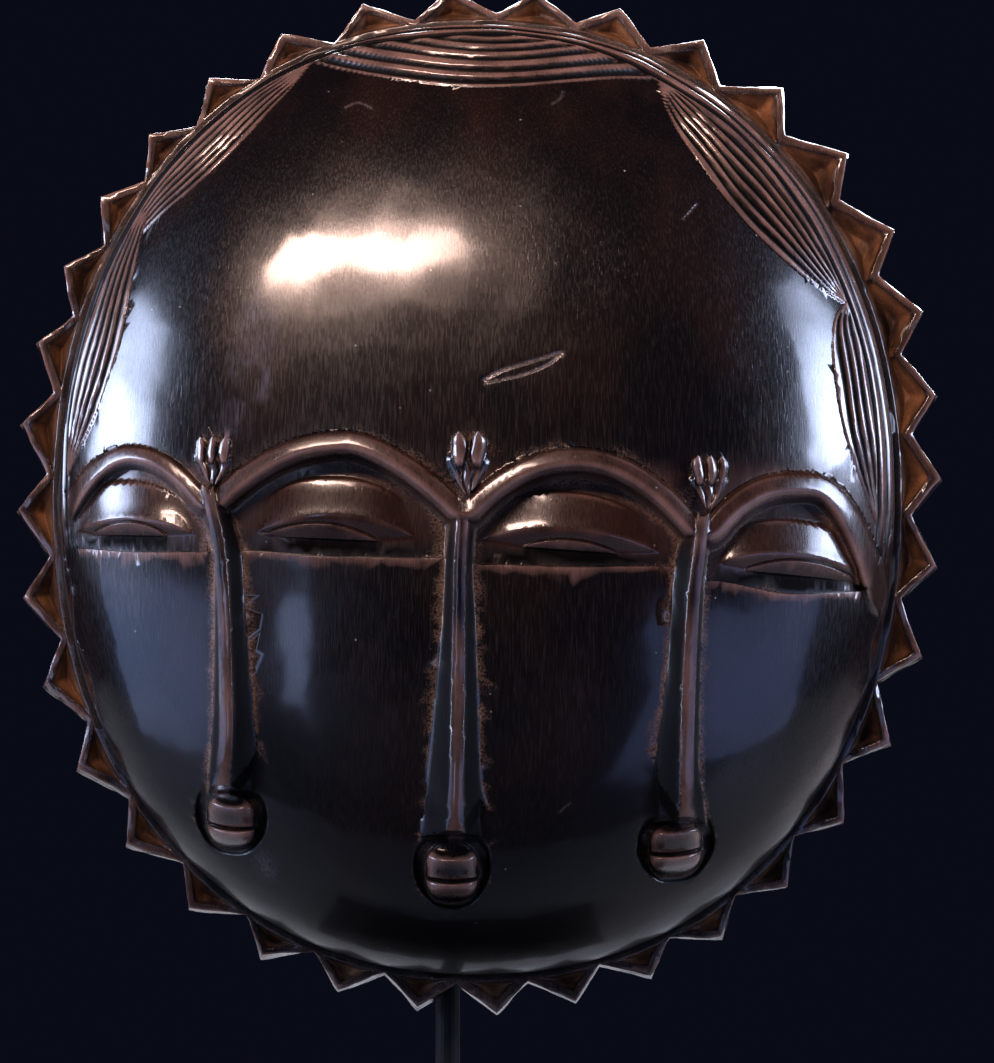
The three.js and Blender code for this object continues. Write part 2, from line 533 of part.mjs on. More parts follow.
    around[b].clear();
    stamp[a] += 1; stamp[b] += 1;
    for (const o of neighbours(a)) offer(a, o);
  }
  const names = new Map(), outXyz = [], outFaces = [];
  for (let f = 0; f < nf; f++) {
    if (!live[f]) continue;
    for (let k = 0; k < 3; k++) {
      const v = F[3 * f + k];
      if (!names.has(v)) { names.set(v, outXyz.length / 3); outXyz.push(X[3 * v], X[3 * v + 1], X[3 * v + 2]); }
      outFaces.push(names.get(v));
    }
  }
  return { xyz: outXyz, faces: outFaces };
}

const FACES = 8600;                               // triangles kept in the mask's solid
const MASK_Y = ROD_Y + ROD_W;                     // back plane of the rim in the object's frame
function maskGeometry() {
  const fine = carveMask(0.5);
  const { xyz, faces } = thin(fine.xyz, fine.faces, FACES);
  const out = new Float32Array(xyz.length);
  for (let k = 0; k < xyz.length; k += 3) {
    out[k] = MASK_X + xyz[k];
    out[k + 1] = MASK_Y - xyz[k + 2];
    out[k + 2] = MASK_Z + xyz[k + 1];
  }
  const g = new THREE.BufferGeometry();
  g.setAttribute('position', new THREE.BufferAttribute(out, 3));
  const turned = [];
  for (let k = 0; k < faces.length; k += 3) turned.push(faces[k], faces[k + 1], faces[k + 2]);
  g.setIndex(turned);
  // make the faces point out
  let volume = 0;
  const a = new THREE.Vector3(), b = new THREE.Vector3(), c = new THREE.Vector3(), pos = g.attributes.position;
  for (let k = 0; k < turned.length; k += 3) {
    a.fromBufferAttribute(pos, turned[k]); b.fromBufferAttribute(pos, turned[k + 1]); c.fromBufferAttribute(pos, turned[k + 2]);
    volume += a.dot(b.cross(c)) / 6;
  }
  if (volume < 0) {
    for (let k = 0; k < turned.length; k += 3) { const m = turned[k + 1]; turned[k + 1] = turned[k + 2]; turned[k + 2] = m; }
    g.setIndex(turned);
  }
  g.computeVertexNormals();
  return g;
}

// ---------------------------------------------------------------- solids for joins and cuts
const wasm = await Module();
wasm.setup();
function solid(geometry) {
  const g = geometry.index ? geometry.toNonIndexed() : geometry.clone();
  g.deleteAttribute('normal');
  g.deleteAttribute('uv');
  const m = mergeVertices(g, 1e-4);
  return new wasm.Manifold(new wasm.Mesh({
    numProp: 3,
    vertProperties: new Float32Array(m.attributes.position.array),
    triVerts: new Uint32Array(m.index.array),
  }));
}
function geometryOf(manifold) {
  const mesh = manifold.getMesh(), g = new THREE.BufferGeometry();
  g.setAttribute('position', new THREE.BufferAttribute(new Float32Array(mesh.vertProperties), 3));
  g.setIndex(Array.from(mesh.triVerts));
  g.computeVertexNormals();
  return g;
}

// ---------------------------------------------------------------- the stand
function circle(r, n) {
  const s = new THREE.Shape();
  for (let k = 0; k < n; k++) {
    const a = 2 * PI * k / n;
    if (k === 0) s.moveTo(r * cos(a), r * sin(a)); else s.lineTo(r * cos(a), r * sin(a));
  }
  s.closePath();
  return s;
}
function sweep(points, r, steps, sides = 16) {
  const path = new THREE.CatmullRomCurve3(points, false, 'centripetal');
  return new THREE.ExtrudeGeometry(circle(r, sides), { steps, bevelEnabled: false, extrudePath: path });
}
function barHeight() {                            // where the crossbar's ends meet the hollow's roof
  const a = DOME_A - WALL, b = DOME_B - WALL;
  const rho = pow(1 - pow(BAR_W / HOLLOW, 2), 1 / 4);
  const across = pow(abs(BAR_HALF / a), SQUARE);
  return DOME_V + b * pow(pow(rho, SQUARE) - across, 1 / SQUARE);
}
const BAR_Z = MASK_Z + barHeight() - BAR_R - 2.6; // clear of the faceted roof by a hair
const BAR_Y = MASK_Y - BAR_W;
function rodGeometry() {
  const bottom = FOOT_Z - SOCKET_DEPTH + GAP, bend = BAR_Z - 52;
  const upright = new THREE.CylinderGeometry(ROD_R, ROD_R, bend - bottom, 20);
  upright.rotateX(PI / 2);
  upright.translate(0, ROD_Y, (bottom + bend) / 2);
  const neck = sweep([
    new THREE.Vector3(0, ROD_Y, bend - 2), new THREE.Vector3(0, ROD_Y, bend + 6),
    new THREE.Vector3(0, ROD_Y - 4, bend + 22), new THREE.Vector3(0, BAR_Y + 4, bend + 42),
    new THREE.Vector3(0, BAR_Y, bend + 52)], ROD_R - 0.02, 12, 20);
  const bar = new THREE.CylinderGeometry(BAR_R, BAR_R, 2 * BAR_HALF, 20);
  bar.rotateZ(PI / 2);
  bar.translate(MASK_X + DOME_U, BAR_Y, BAR_Z);
  return geometryOf(solid(upright).add(solid(neck)).add(solid(bar)));
}
function footGeometry() {
  const s = new THREE.Shape(), r = 4, x = FOOT_X / 2, y = FOOT_Y / 2, n = 5;
  const corners = [[x - r, y - r, 0], [-x + r, y - r, 1], [-x + r, -y + r, 2], [x - r, -y + r, 3]];
  let first = true;
  for (const [cx, cy, q] of corners) {
    for (let k = 0; k <= n; k++) {
      const a = (q + k / n) * PI / 2, px = cx + r * cos(a), py = cy + r * sin(a);
      if (first) { s.moveTo(px, py); first = false; } else s.lineTo(px, py);
    }
  }
  s.closePath();
  const bevel = 1.2;
  const g = new THREE.ExtrudeGeometry(s, {
    depth: FOOT_Z - bevel, steps: 1, bevelEnabled: true, bevelThickness: bevel, bevelSize: bevel,
    bevelOffset: -bevel, bevelSegments: 2,
  });
  // keep the underside flat: cut the lower bevel away
  g.translate(0, 0, 0);
  const cut = new THREE.BoxGeometry(FOOT_X * 2, FOOT_Y * 2, 20);
  cut.translate(0, 0, -10);
  const hole = new THREE.CylinderGeometry(ROD_R + GAP, ROD_R + GAP, SOCKET_DEPTH + 4, 20);
  hole.rotateX(PI / 2);
  hole.translate(0, ROD_Y, FOOT_Z - SOCKET_DEPTH + (SOCKET_DEPTH + 4) / 2);
  return geometryOf(solid(g).subtract(solid(cut)).subtract(solid(hole)));
}

// ---------------------------------------------------------------- the object
const wood = new THREE.MeshStandardMaterial({ color: 0x2a1610, roughness: 0.3, metalness: 0 });
const steel = new THREE.MeshStandardMaterial({ color: 0x101012, roughness: 0.45, metalness: 0.4 });

const group = new THREE.Group();
const mask = new THREE.Mesh(maskGeometry(), wood);
mask.name = 'mask';
const rod = new THREE.Mesh(rodGeometry(), steel);
rod.name = 'stand_rod';
const foot = new THREE.Mesh(footGeometry(), steel);
foot.name = 'stand_base';
group.add(mask, rod, foot);

export default group;
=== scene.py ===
import math
import bpy
import numpy as np
from mathutils.kdtree import KDTree
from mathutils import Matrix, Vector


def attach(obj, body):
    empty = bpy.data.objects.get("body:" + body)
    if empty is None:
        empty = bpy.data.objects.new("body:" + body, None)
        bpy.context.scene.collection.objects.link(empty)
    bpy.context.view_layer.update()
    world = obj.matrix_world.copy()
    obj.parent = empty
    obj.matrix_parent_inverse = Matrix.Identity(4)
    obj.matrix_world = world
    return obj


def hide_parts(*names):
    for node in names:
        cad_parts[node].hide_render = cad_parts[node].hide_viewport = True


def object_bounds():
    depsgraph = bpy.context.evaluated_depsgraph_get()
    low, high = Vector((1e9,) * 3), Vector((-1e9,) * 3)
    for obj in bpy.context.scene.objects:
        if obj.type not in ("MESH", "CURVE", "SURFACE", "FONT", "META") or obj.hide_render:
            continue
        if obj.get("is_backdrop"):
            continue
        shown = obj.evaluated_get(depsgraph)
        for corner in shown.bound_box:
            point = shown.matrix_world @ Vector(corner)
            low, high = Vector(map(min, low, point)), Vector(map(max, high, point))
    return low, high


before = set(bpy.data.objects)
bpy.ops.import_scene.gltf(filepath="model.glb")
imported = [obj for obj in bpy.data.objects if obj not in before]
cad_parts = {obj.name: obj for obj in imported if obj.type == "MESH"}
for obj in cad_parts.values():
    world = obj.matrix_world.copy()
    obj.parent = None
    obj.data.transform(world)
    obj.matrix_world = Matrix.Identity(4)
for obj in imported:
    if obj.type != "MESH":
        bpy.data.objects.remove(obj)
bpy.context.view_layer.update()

# ------------------------------------------------------------------ shape: sizes in millimetres
# The mask is carved in its own coordinates: u to the right, v up, w towards the viewer from
# the flat back. The layout sheet is a front view in steps of a third of a millimetre.
MASK_X, MASK_Y, MASK_Z = 11.0, 24.7, 238.0
RIM, FLARE, LEDGE, PIT = 12.0, 1.5, 2.2, 7.6
DOME_A, DOME_B, DOME_U, DOME_V, SQUARE = 137.8, 157.0, -1.2, 1.6, 2.15
FOREHEAD, CHEEK, WALL, HOLLOW, POLE_V = 68.0, 60.0, 13.0, 58.0, 55.0
TEETH = 36
TIP_TURN = [-2.19, -0.94, 0.07, -0.54, -2.03, -0.15, 0.95, -0.13, 0, 0.18, -0.19, 0.15, -0.01]
TIP_RADIUS = [164.45, 2.64, 0.41, 8.07, 2.14, -0.65, 0.44, -1.49, -0.31, -0.02, -0.42, 0.39, -0.34]
NOTCH_TURN = [-2.5, -0.96, 0.02, 0.14, -2.77, -0.11, 1.07, 0.1, -0.07, 0.23, -0.01, 0.13, 0.13]
NOTCH_RADIUS = [154.1, 3.07, -0.26, 8.24, 2.07, -0.97, 0.19, -0.89, -0.4, 0.04, 0.25, 0.46, 0.12]
STEP = 1 / 3
SHEET_X, SHEET_Y, SHEET_DISTANCE, SHEET_TILT = 481.0, 505.0, 1550.0, math.radians(4)

BROWS = [
    dict(xl=56, yl=507, xa=130, ya=444.5, xr=209, yr=493, nl=2.0, nr=2.1, band=24),
    dict(xl=209, yl=493, xa=347, ya=430, xr=464, yr=500, nl=2.15, nr=1.66, band=27),
    dict(xl=464, yl=500, xa=575, ya=447, xr=700, yr=518, nl=2.15, nr=2.1, band=27),
    dict(xl=705, yl=518, xa=802, ya=471, xr=892, yr=592, nl=2.6, nr=2.6, band=31),
]
NOSES = [
    dict(y=[492, 550, 600, 700, 740, 765, 788], l=[196, 213, 214, 213, 211, 209, 208], side=1, cut=[(258, 753), (241, 775), (270, 782)],
         c=[209, 220, 224, 227, 227, 225, 222], r=[222, 241, 245, 253, 257, 264, 270], rise=9.0, tip=12.5),
    dict(y=[500, 560, 620, 700, 780, 810, 833], l=[450, 445, 442, 434, 426, 422, 420], side=1, cut=[(480, 797), (464, 823), (492, 822)],
         c=[464, 460, 459, 458, 457, 456, 456], r=[478, 473, 476, 479, 482, 489, 492], rise=9.4, tip=13.0),
    dict(y=[517, 560, 600, 650, 720, 770, 800, 819], l=[690, 676, 671, 668, 660, 652, 645, 642], side=-1, cut=[(656, 778), (642, 806), (672, 804)],
         c=[702, 698, 693, 690, 687, 686, 686, 687], r=[714, 706, 704, 702, 700, 700, 704, 706], rise=9.0, tip=12.5),
]
EYES = [
    dict(xl=71, yl=534, xr=201, yr=537, xa=130, lid=58, edge=16, la=91, lb=167, lens=12, ledge=[547, 551, 551]),
    dict(xl=248, yl=535, xr=424, yr=543, xa=340, lid=66, edge=23, la=262, lb=378, lens=14, ledge=[550, 556, 557]),
    dict(xl=472, yl=543, xr=668, yr=557, xa=570, lid=62, edge=20, la=523, lb=617, lens=9, ledge=[563, 566, 565]),
    dict(xl=711, yl=567, xr=876, yr=583, xa=797, lid=58, edge=21, la=745, lb=860, lens=14, ledge=[580, 593, 590]),
]
MOUTHS = [
    dict(x=231, y=821, a=25, b=29, lip=829, slant=0.12),
    dict(x=452, y=872, a=27, b=32, lip=882, slant=0.0),
    dict(x=676, y=849, a=27, b=29, lip=855, slant=-0.10),
]
TUFTS = [
    dict(x=214, top=438, foot=490, half=21, buds=[(201.0, 5.6, 0.9), (212.5, 6.0, 1.1), (225.0, 6.8, 1.1)]),
    dict(x=468, top=433, foot=501, half=24, buds=[(459.5, 9.2, 1.55), (478.0, 9.4, 1.6)]),
    dict(x=708, top=457, foot=514, half=21, buds=[(698.0, 6.6, 1.15), (711.0, 6.6, 1.3), (722.5, 4.8, 0.8)]),
]
# Hair bands: the line that parts each band from the smooth forehead, and its grooves.
BANDS = [
    dict(line=[(313, 64), (352, 73), (400, 81), (440, 86), (475, 88), (520, 87), (570, 83), (615, 80), (656, 80)],
         offsets=[7, 18.5, 30, 39, 47, 54, 61], depth=1.3),
    dict(line=[(312, 64), (296, 84), (272, 110), (248, 137), (222, 163), (196, 187), (166, 212), (140, 238), (120, 262)],
         count=6, depth=1.3),
    dict(line=[(148, 214), (138, 255), (130, 300), (120, 345), (108, 385), (94, 423), (80, 452), (68, 478)],
         count=5, depth=0.95),
    dict(line=[(656, 80), (664, 105), (678, 134), (700, 166), (724, 198), (752, 230), (784, 261), (815, 286), (846, 306), (866, 318)],
         count=6, depth=1.35),
    dict(line=[(846, 300), (834, 318), (831, 345), (835, 385), (842, 425), (854, 465), (867, 500), (880, 535), (889, 566)],
         count=4, depth=1.0),
]


def ease(a, b, x):
    t = np.clip((x - a) / (b - a), 0, 1)
    return t * t * (3 - 2 * t)


def mix(a, b, t):
    return a + (b - a) * t


def soft_max(a, b, k):
    h = np.maximum(k - np.abs(a - b), 0) / k
    return np.maximum(a, b) + h * h * k / 4


def series(c, turn):
    s = np.full_like(turn, c[0])
    for k in range(1, 7):
        s = s + c[2 * k - 1] * np.cos(k * turn) + c[2 * k] * np.sin(k * turn)
    return s


def along(xs, ys, x):
    xs, ys = np.asarray(xs, float), np.asarray(ys, float)
    slope = np.empty_like(ys)
    slope[0] = (ys[1] - ys[0]) / (xs[1] - xs[0])
    slope[-1] = (ys[-1] - ys[-2]) / (xs[-1] - xs[-2])
    slope[1:-1] = (ys[2:] - ys[:-2]) / (xs[2:] - xs[:-2])
    x = np.clip(x, xs[0], xs[-1])
    i = np.clip(np.searchsorted(xs, x, side="right") - 1, 0, len(xs) - 2)
    h = xs[i + 1] - xs[i]
    t = (x - xs[i]) / h
    a, b = slope[i] * h, slope[i + 1] * h
    return ys[i] + t * (a + t * (3 * (ys[i + 1] - ys[i]) - 2 * a - b + t * (2 * (ys[i] - ys[i + 1]) + a + b)))


def waves(p, length, seed, n=14):
    """Smooth carving unevenness: a sum of waves of about this length, between -1 and 1."""
    rng = np.random.default_rng(seed)
    out = np.zeros(len(p[0]))
    for _ in range(n):
        d = rng.normal(size=3)
        d *= 2 * np.pi / (length * rng.uniform(0.7, 1.6)) / np.linalg.norm(d)
        out += np.sin(d[0] * p[0] + d[1] * p[1] + d[2] * p[2] + rng.uniform(0, 6.283))
    return out / math.sqrt(n)


def smooth_line(points, per=6):
    """Dense points on a smooth curve through a few."""
    p = np.asarray(points, float)
    s = np.arange(len(p), dtype=float)
    t = np.linspace(0, len(p) - 1, (len(p) - 1) * per + 1)
    return np.stack([along(s, p[:, 0], t), along(s, p[:, 1], t)], 1)


def line_distance(x, y, pts):
    """Distance to a polyline, the side (positive to its left as it runs) and place along it."""
    best = np.full(len(x), 1e18)
    side, place = np.zeros(len(x)), np.zeros(len(x))
    run = 0.0
    for (ax, ay), (bx, by) in zip(pts[:-1], pts[1:]):
        dx, dy = bx - ax, by - ay
        ln = math.hypot(dx, dy)
        raw = ((x - ax) * dx + (y - ay) * dy) / (ln * ln)
        t = np.clip(raw, 0, 1)
        d = (x - ax - t * dx) ** 2 + (y - ay - t * dy) ** 2
        m = d < best
        best = np.where(m, d, best)
        side = np.where(m, (y - ay) * dx - (x - ax) * dy, side)
        place = np.where(m, run + raw * ln, place)
        run += ln
    return np.sqrt(best), side, place, run


# ------------------------------------------------------------------ shape: outlines
def oval_table(a, b):
    turn = np.linspace(-np.pi, np.pi, 5761)
    s, c = np.sin(turn), np.cos(turn)
    r = np.full_like(turn, (a + b) / 2)
    for _ in range(14):
        u, v = r * s - DOME_U, r * c - DOME_V
        rho = (np.abs(u / a) ** SQUARE + np.abs(v / b) ** SQUARE) ** (1 / SQUARE)
        r = r + (1 - rho) * min(a, b) * 0.95
    return turn, r


OVALS = {0: oval_table(DOME_A, DOME_B), 1: oval_table(DOME_A - WALL, DOME_B - WALL)}


def dome_radius(turn, which=0):
    t, r = OVALS[which]
    return np.interp(np.mod(turn + np.pi, 2 * np.pi) - np.pi, t, r)


def rim_table(inset):
    k = np.arange(2 * TEETH)
    tip = k % 2 == 0
    even = k * np.pi / TEETH
    turn = even + np.where(tip, series(TIP_TURN, even), series(NOTCH_TURN, even)) * np.pi / 180
    r = np.where(tip, series(TIP_RADIUS, even), series(NOTCH_RADIUS, even)) - inset * np.where(tip, 1.06, 0.85)
    r = np.where(tip, r, np.maximum(r, dome_radius(turn) + LEDGE))
    return r * np.sin(turn), r * np.cos(turn)


RIM_LINES = {0.0: rim_table(0.0), FLARE: rim_table(FLARE)}


def rim_point(t, inset):
    j = np.floor(t * 2 + 1e-9).astype(int)
    f = t * 2 - j
    x, y = RIM_LINES[inset]
    a, b = j % (2 * TEETH), (j + 1) % (2 * TEETH)
    return mix(x[a], x[b], f), mix(y[a], y[b], f)


def rho_of(u, v, a=DOME_A, b=DOME_B):
    return (np.abs((u - DOME_U) / a) ** SQUARE + np.abs((v - DOME_V) / b) ** SQUARE) ** (1 / SQUARE)


# ------------------------------------------------------------------ shape: dome and face
def forehead(rho):
    return RIM + FOREHEAD * np.sqrt(np.maximum(0, 1 - rho ** 2.5))


def cheek(rho, v):
    down = np.clip(-(v - DOME_V) / DOME_B / np.maximum(rho, 1e-6), 0, 1)
    s = down * down
    return RIM + CHEEK * np.maximum(0, 1 - rho ** (2.8 + 2.7 * s)) ** (1 / (2 + 0.4 * s))


def sheet(u, v, w):
    ce, se = math.cos(SHEET_TILT), math.sin(SHEET_TILT)
    k = SHEET_DISTANCE / (SHEET_DISTANCE - (w * ce - v * se)) / STEP
    return SHEET_X + u * k, SHEET_Y - (v * ce + w * se) * k


def arch_y(b, x):
    left = b["ya"] + (b["yl"] - b["ya"]) * (np.maximum(b["xa"] - x, 0) / (b["xa"] - b["xl"])) ** b["nl"]
    right = b["ya"] + (b["yr"] - b["ya"]) * (np.maximum(x - b["xa"], 0) / (b["xr"] - b["xa"])) ** b["nr"]
    return np.where(x < b["xa"], left, right)


BROW_LINES = []
for _b in BROWS:
    _x = mix(_b["xl"], _b["xr"], (1 - np.cos(np.pi * np.arange(29) / 28)) / 2)
    BROW_LINES.append(np.stack([_x, arch_y(_b, _x)], 1))


def brow_distance(x, y):
    best, band = np.full(len(x), 1e9), np.full(len(x), 27.0)
    for b, pts in zip(BROWS, BROW_LINES):
        d, _, _, _ = line_distance(x, y, pts)
        m = d < best
        best, band = np.where(m, d, best), np.where(m, b["band"], band)
    xc = np.clip(x, BROWS[0]["xl"], BROWS[3]["xr"])
    crease = np.full(len(x), 1e9)
    for k, b in enumerate(BROWS):
        lo = -1e9 if k == 0 else 702.5 if k == 3 else b["xl"]
        hi = 1e9 if k == 3 else 702.5 if k == 2 else b["xr"]
        m = (xc >= lo) & (xc <= hi)
        crease = np.where(m, np.minimum(crease, arch_y(b, np.clip(xc, b["xl"], b["xr"]))), crease)
    return np.where(y > crease, -best, best), band


def nose_parts(n, x, y):
    """Centre offset, half width of the ridge and of the whole nose, and the share of its length."""
    y0, y1 = n["y"][0], n["y"][-1]
    l, c, r = along(n["y"], n["l"], y), along(n["y"], n["c"], y), along(n["y"], n["r"], y)
    room = np.where(x < c, c - l, r - c)
    down = np.clip((y - y0) / (y1 - y0), 0, 1)
    half = np.minimum(mix(5.4, 6.9, down) + 2.5 * ease(0.94, 1.0, down), room * 0.75)
    return np.abs(x - c), half, room, down


def nose_height(x, y):
    """Rise of the noses above the cheeks: a flat ridge with crisp edges, and hollow flanks that flare to the tip."""
    h = np.full(len(x), -2.0)
    for n in NOSES:
        y0, y1 = n["y"][0], n["y"][-1]
        d, half, room, down = nose_parts(n, x, y)
        top = n["rise"] - 1.0 * np.sin(np.pi * np.minimum(down / 0.8, 1)) + (n["tip"] - n["rise"]) * ease(0.5, 1, down)
        crown = top * (1 - 0.05 * (d / half) ** 2)
        g = np.clip((room - d) / np.maximum(room - half, 1), 0, 1)
        flank = 0.97 * top * g ** mix(1.15, 1.5, ease(0.2, 0.8, down))
        k = np.where(d < half, crown, np.minimum(flank, crown))
        k = np.where(d > room, -(d - room) * 0.9, k)
        (ax, ay), (bx, by), (cx, cy) = n["cut"]
        left = ((x - bx) * (ay - by) - (y - by) * (ax - bx)) / math.hypot(ax - bx, ay - by)
        right = ((y - cy) * (ax - cx) - (x - cx) * (ay - cy)) / math.hypot(ax - cx, ay - cy)
        inside = np.minimum(-left, -right)
        k = k - np.where((d < room) & (inside > 0), 3.4 * np.clip(inside / 9.0, 0, 1) ** 0.8, 0)
        other = (x - (ax - n["side"] * 44)) ** 2 / 60.0 + (y - ay - 8) ** 2 / 160.0
        k = k + np.where(d < room, 0.9 * np.exp(-other), 0)
        k = k - 0.7 * np.exp(-((d - room - 0.6) / 1.5) ** 2) * ease(y0 + 10, y0 + 60, y)
        k = np.minimum(k, (y1 - y + 3.5) * 2.2)
        off = (y < y0 - 30) | (y > y1 + 12) | (d > room + 7)
        h = np.maximum(h, np.where(off, -2, k))
    return h


def mouth_ring(m, x, y):
    """Distance from a mouth's middle, 1 on the edge of the lips' block."""
    dx = x - m["x"]
    dy = y - m["y"] - dx * m["slant"]
    return (np.abs(dx / m["a"]) ** 2.6 + np.abs(dy / m["b"]) ** 2.6) ** (1 / 2.6), dx, dy


def moat_reach(m, dy):
    return mix(1.50, 1.22, ease(-0.1, 0.9, dy / m["b"]))


def mouth_height(x, y):
    """Rise of the mouths above the cheeks: a block with two lips, in a deep cut moat."""
    h = np.zeros(len(x))
    for m in MOUTHS:
        q, dx, dy = mouth_ring(m, x, y)
        reach = moat_reach(m, dy)
        moat = -3.2 * ease(reach, reach - 0.30, q) * ease(-m["b"] * 1.25, -m["b"] * 0.6, dy)
        lip = y - m["lip"] - dx * m["slant"] + 4.0 * (dx / m["a"]) ** 2
        up = along([-46, -38, -30, -25, -21, -14, -6, -1.6, 0], [1.2, 3.4, 5.0, 6.9, 8.3, 8.1, 6.9, 6.2, 5.0], np.clip(lip, -46, 0))
        low = along([0, 1.6, 4, 9, 14, 20, 26], [5.0, 7.6, 8.9, 8.7, 7.0, 3.6, 0.0], np.clip(lip, 0, 26))
        form = np.where(lip < 0, up, low)
        side = np.maximum(0, 1 - np.minimum(np.abs(dx) / m["a"], 1) ** 3.2) ** 0.5
        end = np.maximum(0, 1 - np.minimum(q, 1) ** 6) ** 0.5
        gap = -2.4 * np.exp(-(lip / 1.3) ** 2) * ease(1.0, 0.8, np.abs(dx) / m["a"])
        own = moat + np.where(q < 1, np.maximum(form * np.minimum(side, end) + gap, 0), 0)
        h = np.where(q > 1.7, h, own)
    return h


def eye_height(x, y):
    h = np.zeros(len(x))
    for k, e in enumerate(EYES):
        left = -1e9 if k == 0 else BROWS[k]["xl"]
        right = 1e9 if k == 3 else BROWS[k]["xr"]
        t = np.clip((x - e["xl"]) / (e["xr"] - e["xl"]), 0, 1)
        g = e["ledge"]
        ledge = np.where(t < 0.5, mix(g[0], g[1], ease(0, 0.5, t)), mix(g[1], g[2], ease(0.5, 1, t)))
        slit = mix(e["yl"], e["yr"], (x - e["xl"]) / (e["xr"] - e["xl"]))
        drop = -4.6 * (1 - 0.35 * ease(slit - 20, slit - 60, y)) * ease(ledge + 1.5, ledge - 2.5, y)
        hw = np.where(x < e["xa"], e["xa"] - e["xl"], e["xr"] - e["xa"])
        xi = np.minimum(np.abs(x - e["xa"]) / hw, 1)
        top = slit - e["lid"] * np.maximum(1 - xi ** np.where(x < e["xa"], 2.3, 2.05), 0) ** 0.5
        edge = slit - e["edge"] * (1 - xi ** 2.2)
        bulge = 7.4 * np.maximum(1 - xi ** 4, 0) ** 0.5
        # rises in a step, then as a plane that faces a little up, to a crisp edge; then turns under
        f = np.clip((y - top) / np.maximum(edge - top, 1), 0, 1.6)
        g = np.clip((y - edge) / np.maximum(slit - edge, 1), -1.0, 1)
        shape = np.maximum(1 - xi ** 2.4, 0) ** 0.68
        upper = 6.6 * (0.34 * ease(0, 0.14, f) + 0.66 * f)
        lower = 6.6 - 3.9 * g
        lid = -shape * soft_max(-upper, -lower, 1.1) * ease(slit + 2.5, slit - 0.5, y)
        # the lens of the closed eye under the lid's edge, with a thin cut around it
        mid, half = (e["la"] + e["lb"]) / 2, (e["lb"] - e["la"]) / 2
        lx = np.clip((x - mid) / half, -1, 1)
        ltop = slit - 1.5 - e["lens"] * (1 - lx * lx)
        inside = ease(-0.6, 1.4, y - ltop) * (np.abs(x - mid) < half) * (y < slit + 1)
        rim = np.exp(-((y - ltop) / 1.1) ** 2) * (np.abs(lx) < 0.999)
        lid = lid + 0.75 * inside - 0.7 * rim
        # the black gap between the lids, thinner to its ends
        low = ledge + 1.0
        high = mix(slit, low - 2.0, np.abs(2 * t - 1) ** 3.5)
        away = (y - (high + low) / 2) / np.maximum((low - high) / 2, 1)
        gap = -4.4 * np.maximum(1 - np.abs(away) ** 2.2, 0) ** 0.6 * ease(-4, 6, x - e["xl"]) * ease(-4, 6, e["xr"] - x)
        drop = np.where((y > slit - 1) & (xi < 1.01), drop + gap, drop)
        h0 = np.where((xi < 1) & (y < slit + 3) & (y >= top), np.maximum(drop, drop + lid), drop)
        own = (x >= left) & (x <= right)
        h = np.where(own, np.where(y > ledge + 2, 0, h0), h)
    return h


def tuft_height(x, y):
    """Small carved tufts over the noses: a few buds above leaves that run to a point."""
    h = np.zeros(len(x))
    for s in TUFTS:
        f = (y - s["top"]) / (s["foot"] - s["top"])
        inside = (f > -0.05) & (f < 1.05) & (np.abs(x - s["x"]) < s["half"] * 1.15)
        if not inside.any():
            continue
        part = np.zeros(len(x))
        for k, (bx, wide, rise) in enumerate(s["buds"]):
            # a bud, pear shaped, that thins to a stalk
            cx = bx + (s["x"] - bx) * 0.10 * f * 2
            w = wide * along([0, 0.08, 0.2, 0.36, 0.5, 0.62], [0.15, 0.8, 1.0, 0.95, 0.55, 0.1], f)
            d = np.abs(x - cx - 0.8 * np.sin(y / 5.0 + k)) / np.maximum(w, 0.5)
            part = np.maximum(part, 2.5 * rise * np.maximum(1 - d ** 2.2, 0) ** 0.55 * (f > 0) * (f < 0.62) * ease(0.62, 0.45, f))
        # leaves below the buds, spread like a fan that closes at the foot
        span = s["half"] * along([0.28, 0.5, 0.75, 1.0], [0.95, 0.86, 0.50, 0.05], f)
        a = (x - s["x"]) / np.maximum(span, 0.5)
        leaf = np.abs(((a * 1.5 + 0.5 + 0.12 * np.sin(y / 4.0)) % 1.0) - 0.5) * 2
        lower = 1.7 * np.maximum(1 - np.abs(a) ** 4, 0) ** 0.5 * (0.35 + 0.65 * (1 - leaf ** 2.0) ** 0.8) * ease(0.24 + 0.10 * leaf[...], 0.40 + 0.10 * leaf, f) * ease(1.02, 0.9, f)
        part = np.maximum(part, np.where(np.abs(a) < 1, lower, 0))
        h = np.maximum(h, np.where(inside, part, 0))
    return h


SCRATCH = [smooth_line([(484, 380), (500, 371), (522, 364), (545, 357), (561, 352)]),
           smooth_line([(485, 381), (503, 379), (527, 373), (548, 364), (561, 353)])]
NICKS = [smooth_line([(683, 219), (690, 212), (697, 204)]), smooth_line([(552, 104), (560, 99), (563, 92)]),
         smooth_line([(345, 108), (358, 103), (372, 109)]), smooth_line([(560, 812), (566, 806), (571, 803)])]


def scratch_depth(x, y):
    """A long gouge on the forehead, cut along both its edges, and a few nicks."""
    h = np.zeros(len(x))
    near = (x > 470) & (x < 575) & (y > 340) & (y < 392)
    if near.any():
        a, _, _, _ = line_distance(x[near], y[near], SCRATCH[0])
        b, _, _, _ = line_distance(x[near], y[near], SCRATCH[1])
        h[near] = 0.32 * np.exp(-(a / 1.2) ** 2) + 0.26 * np.exp(-(b / 1.1) ** 2) + 0.12 * np.exp(-((a + b) / 9.0) ** 4)
    for pts in NICKS:
        near = (np.abs(x - pts[:, 0].mean()) < 22) & (np.abs(y - pts[:, 1].mean()) < 18)
        if near.any():
            d, _, _, _ = line_distance(x[near], y[near], pts)
            h[near] += 0.18 * np.exp(-(d / 1.0) ** 2)
    return h


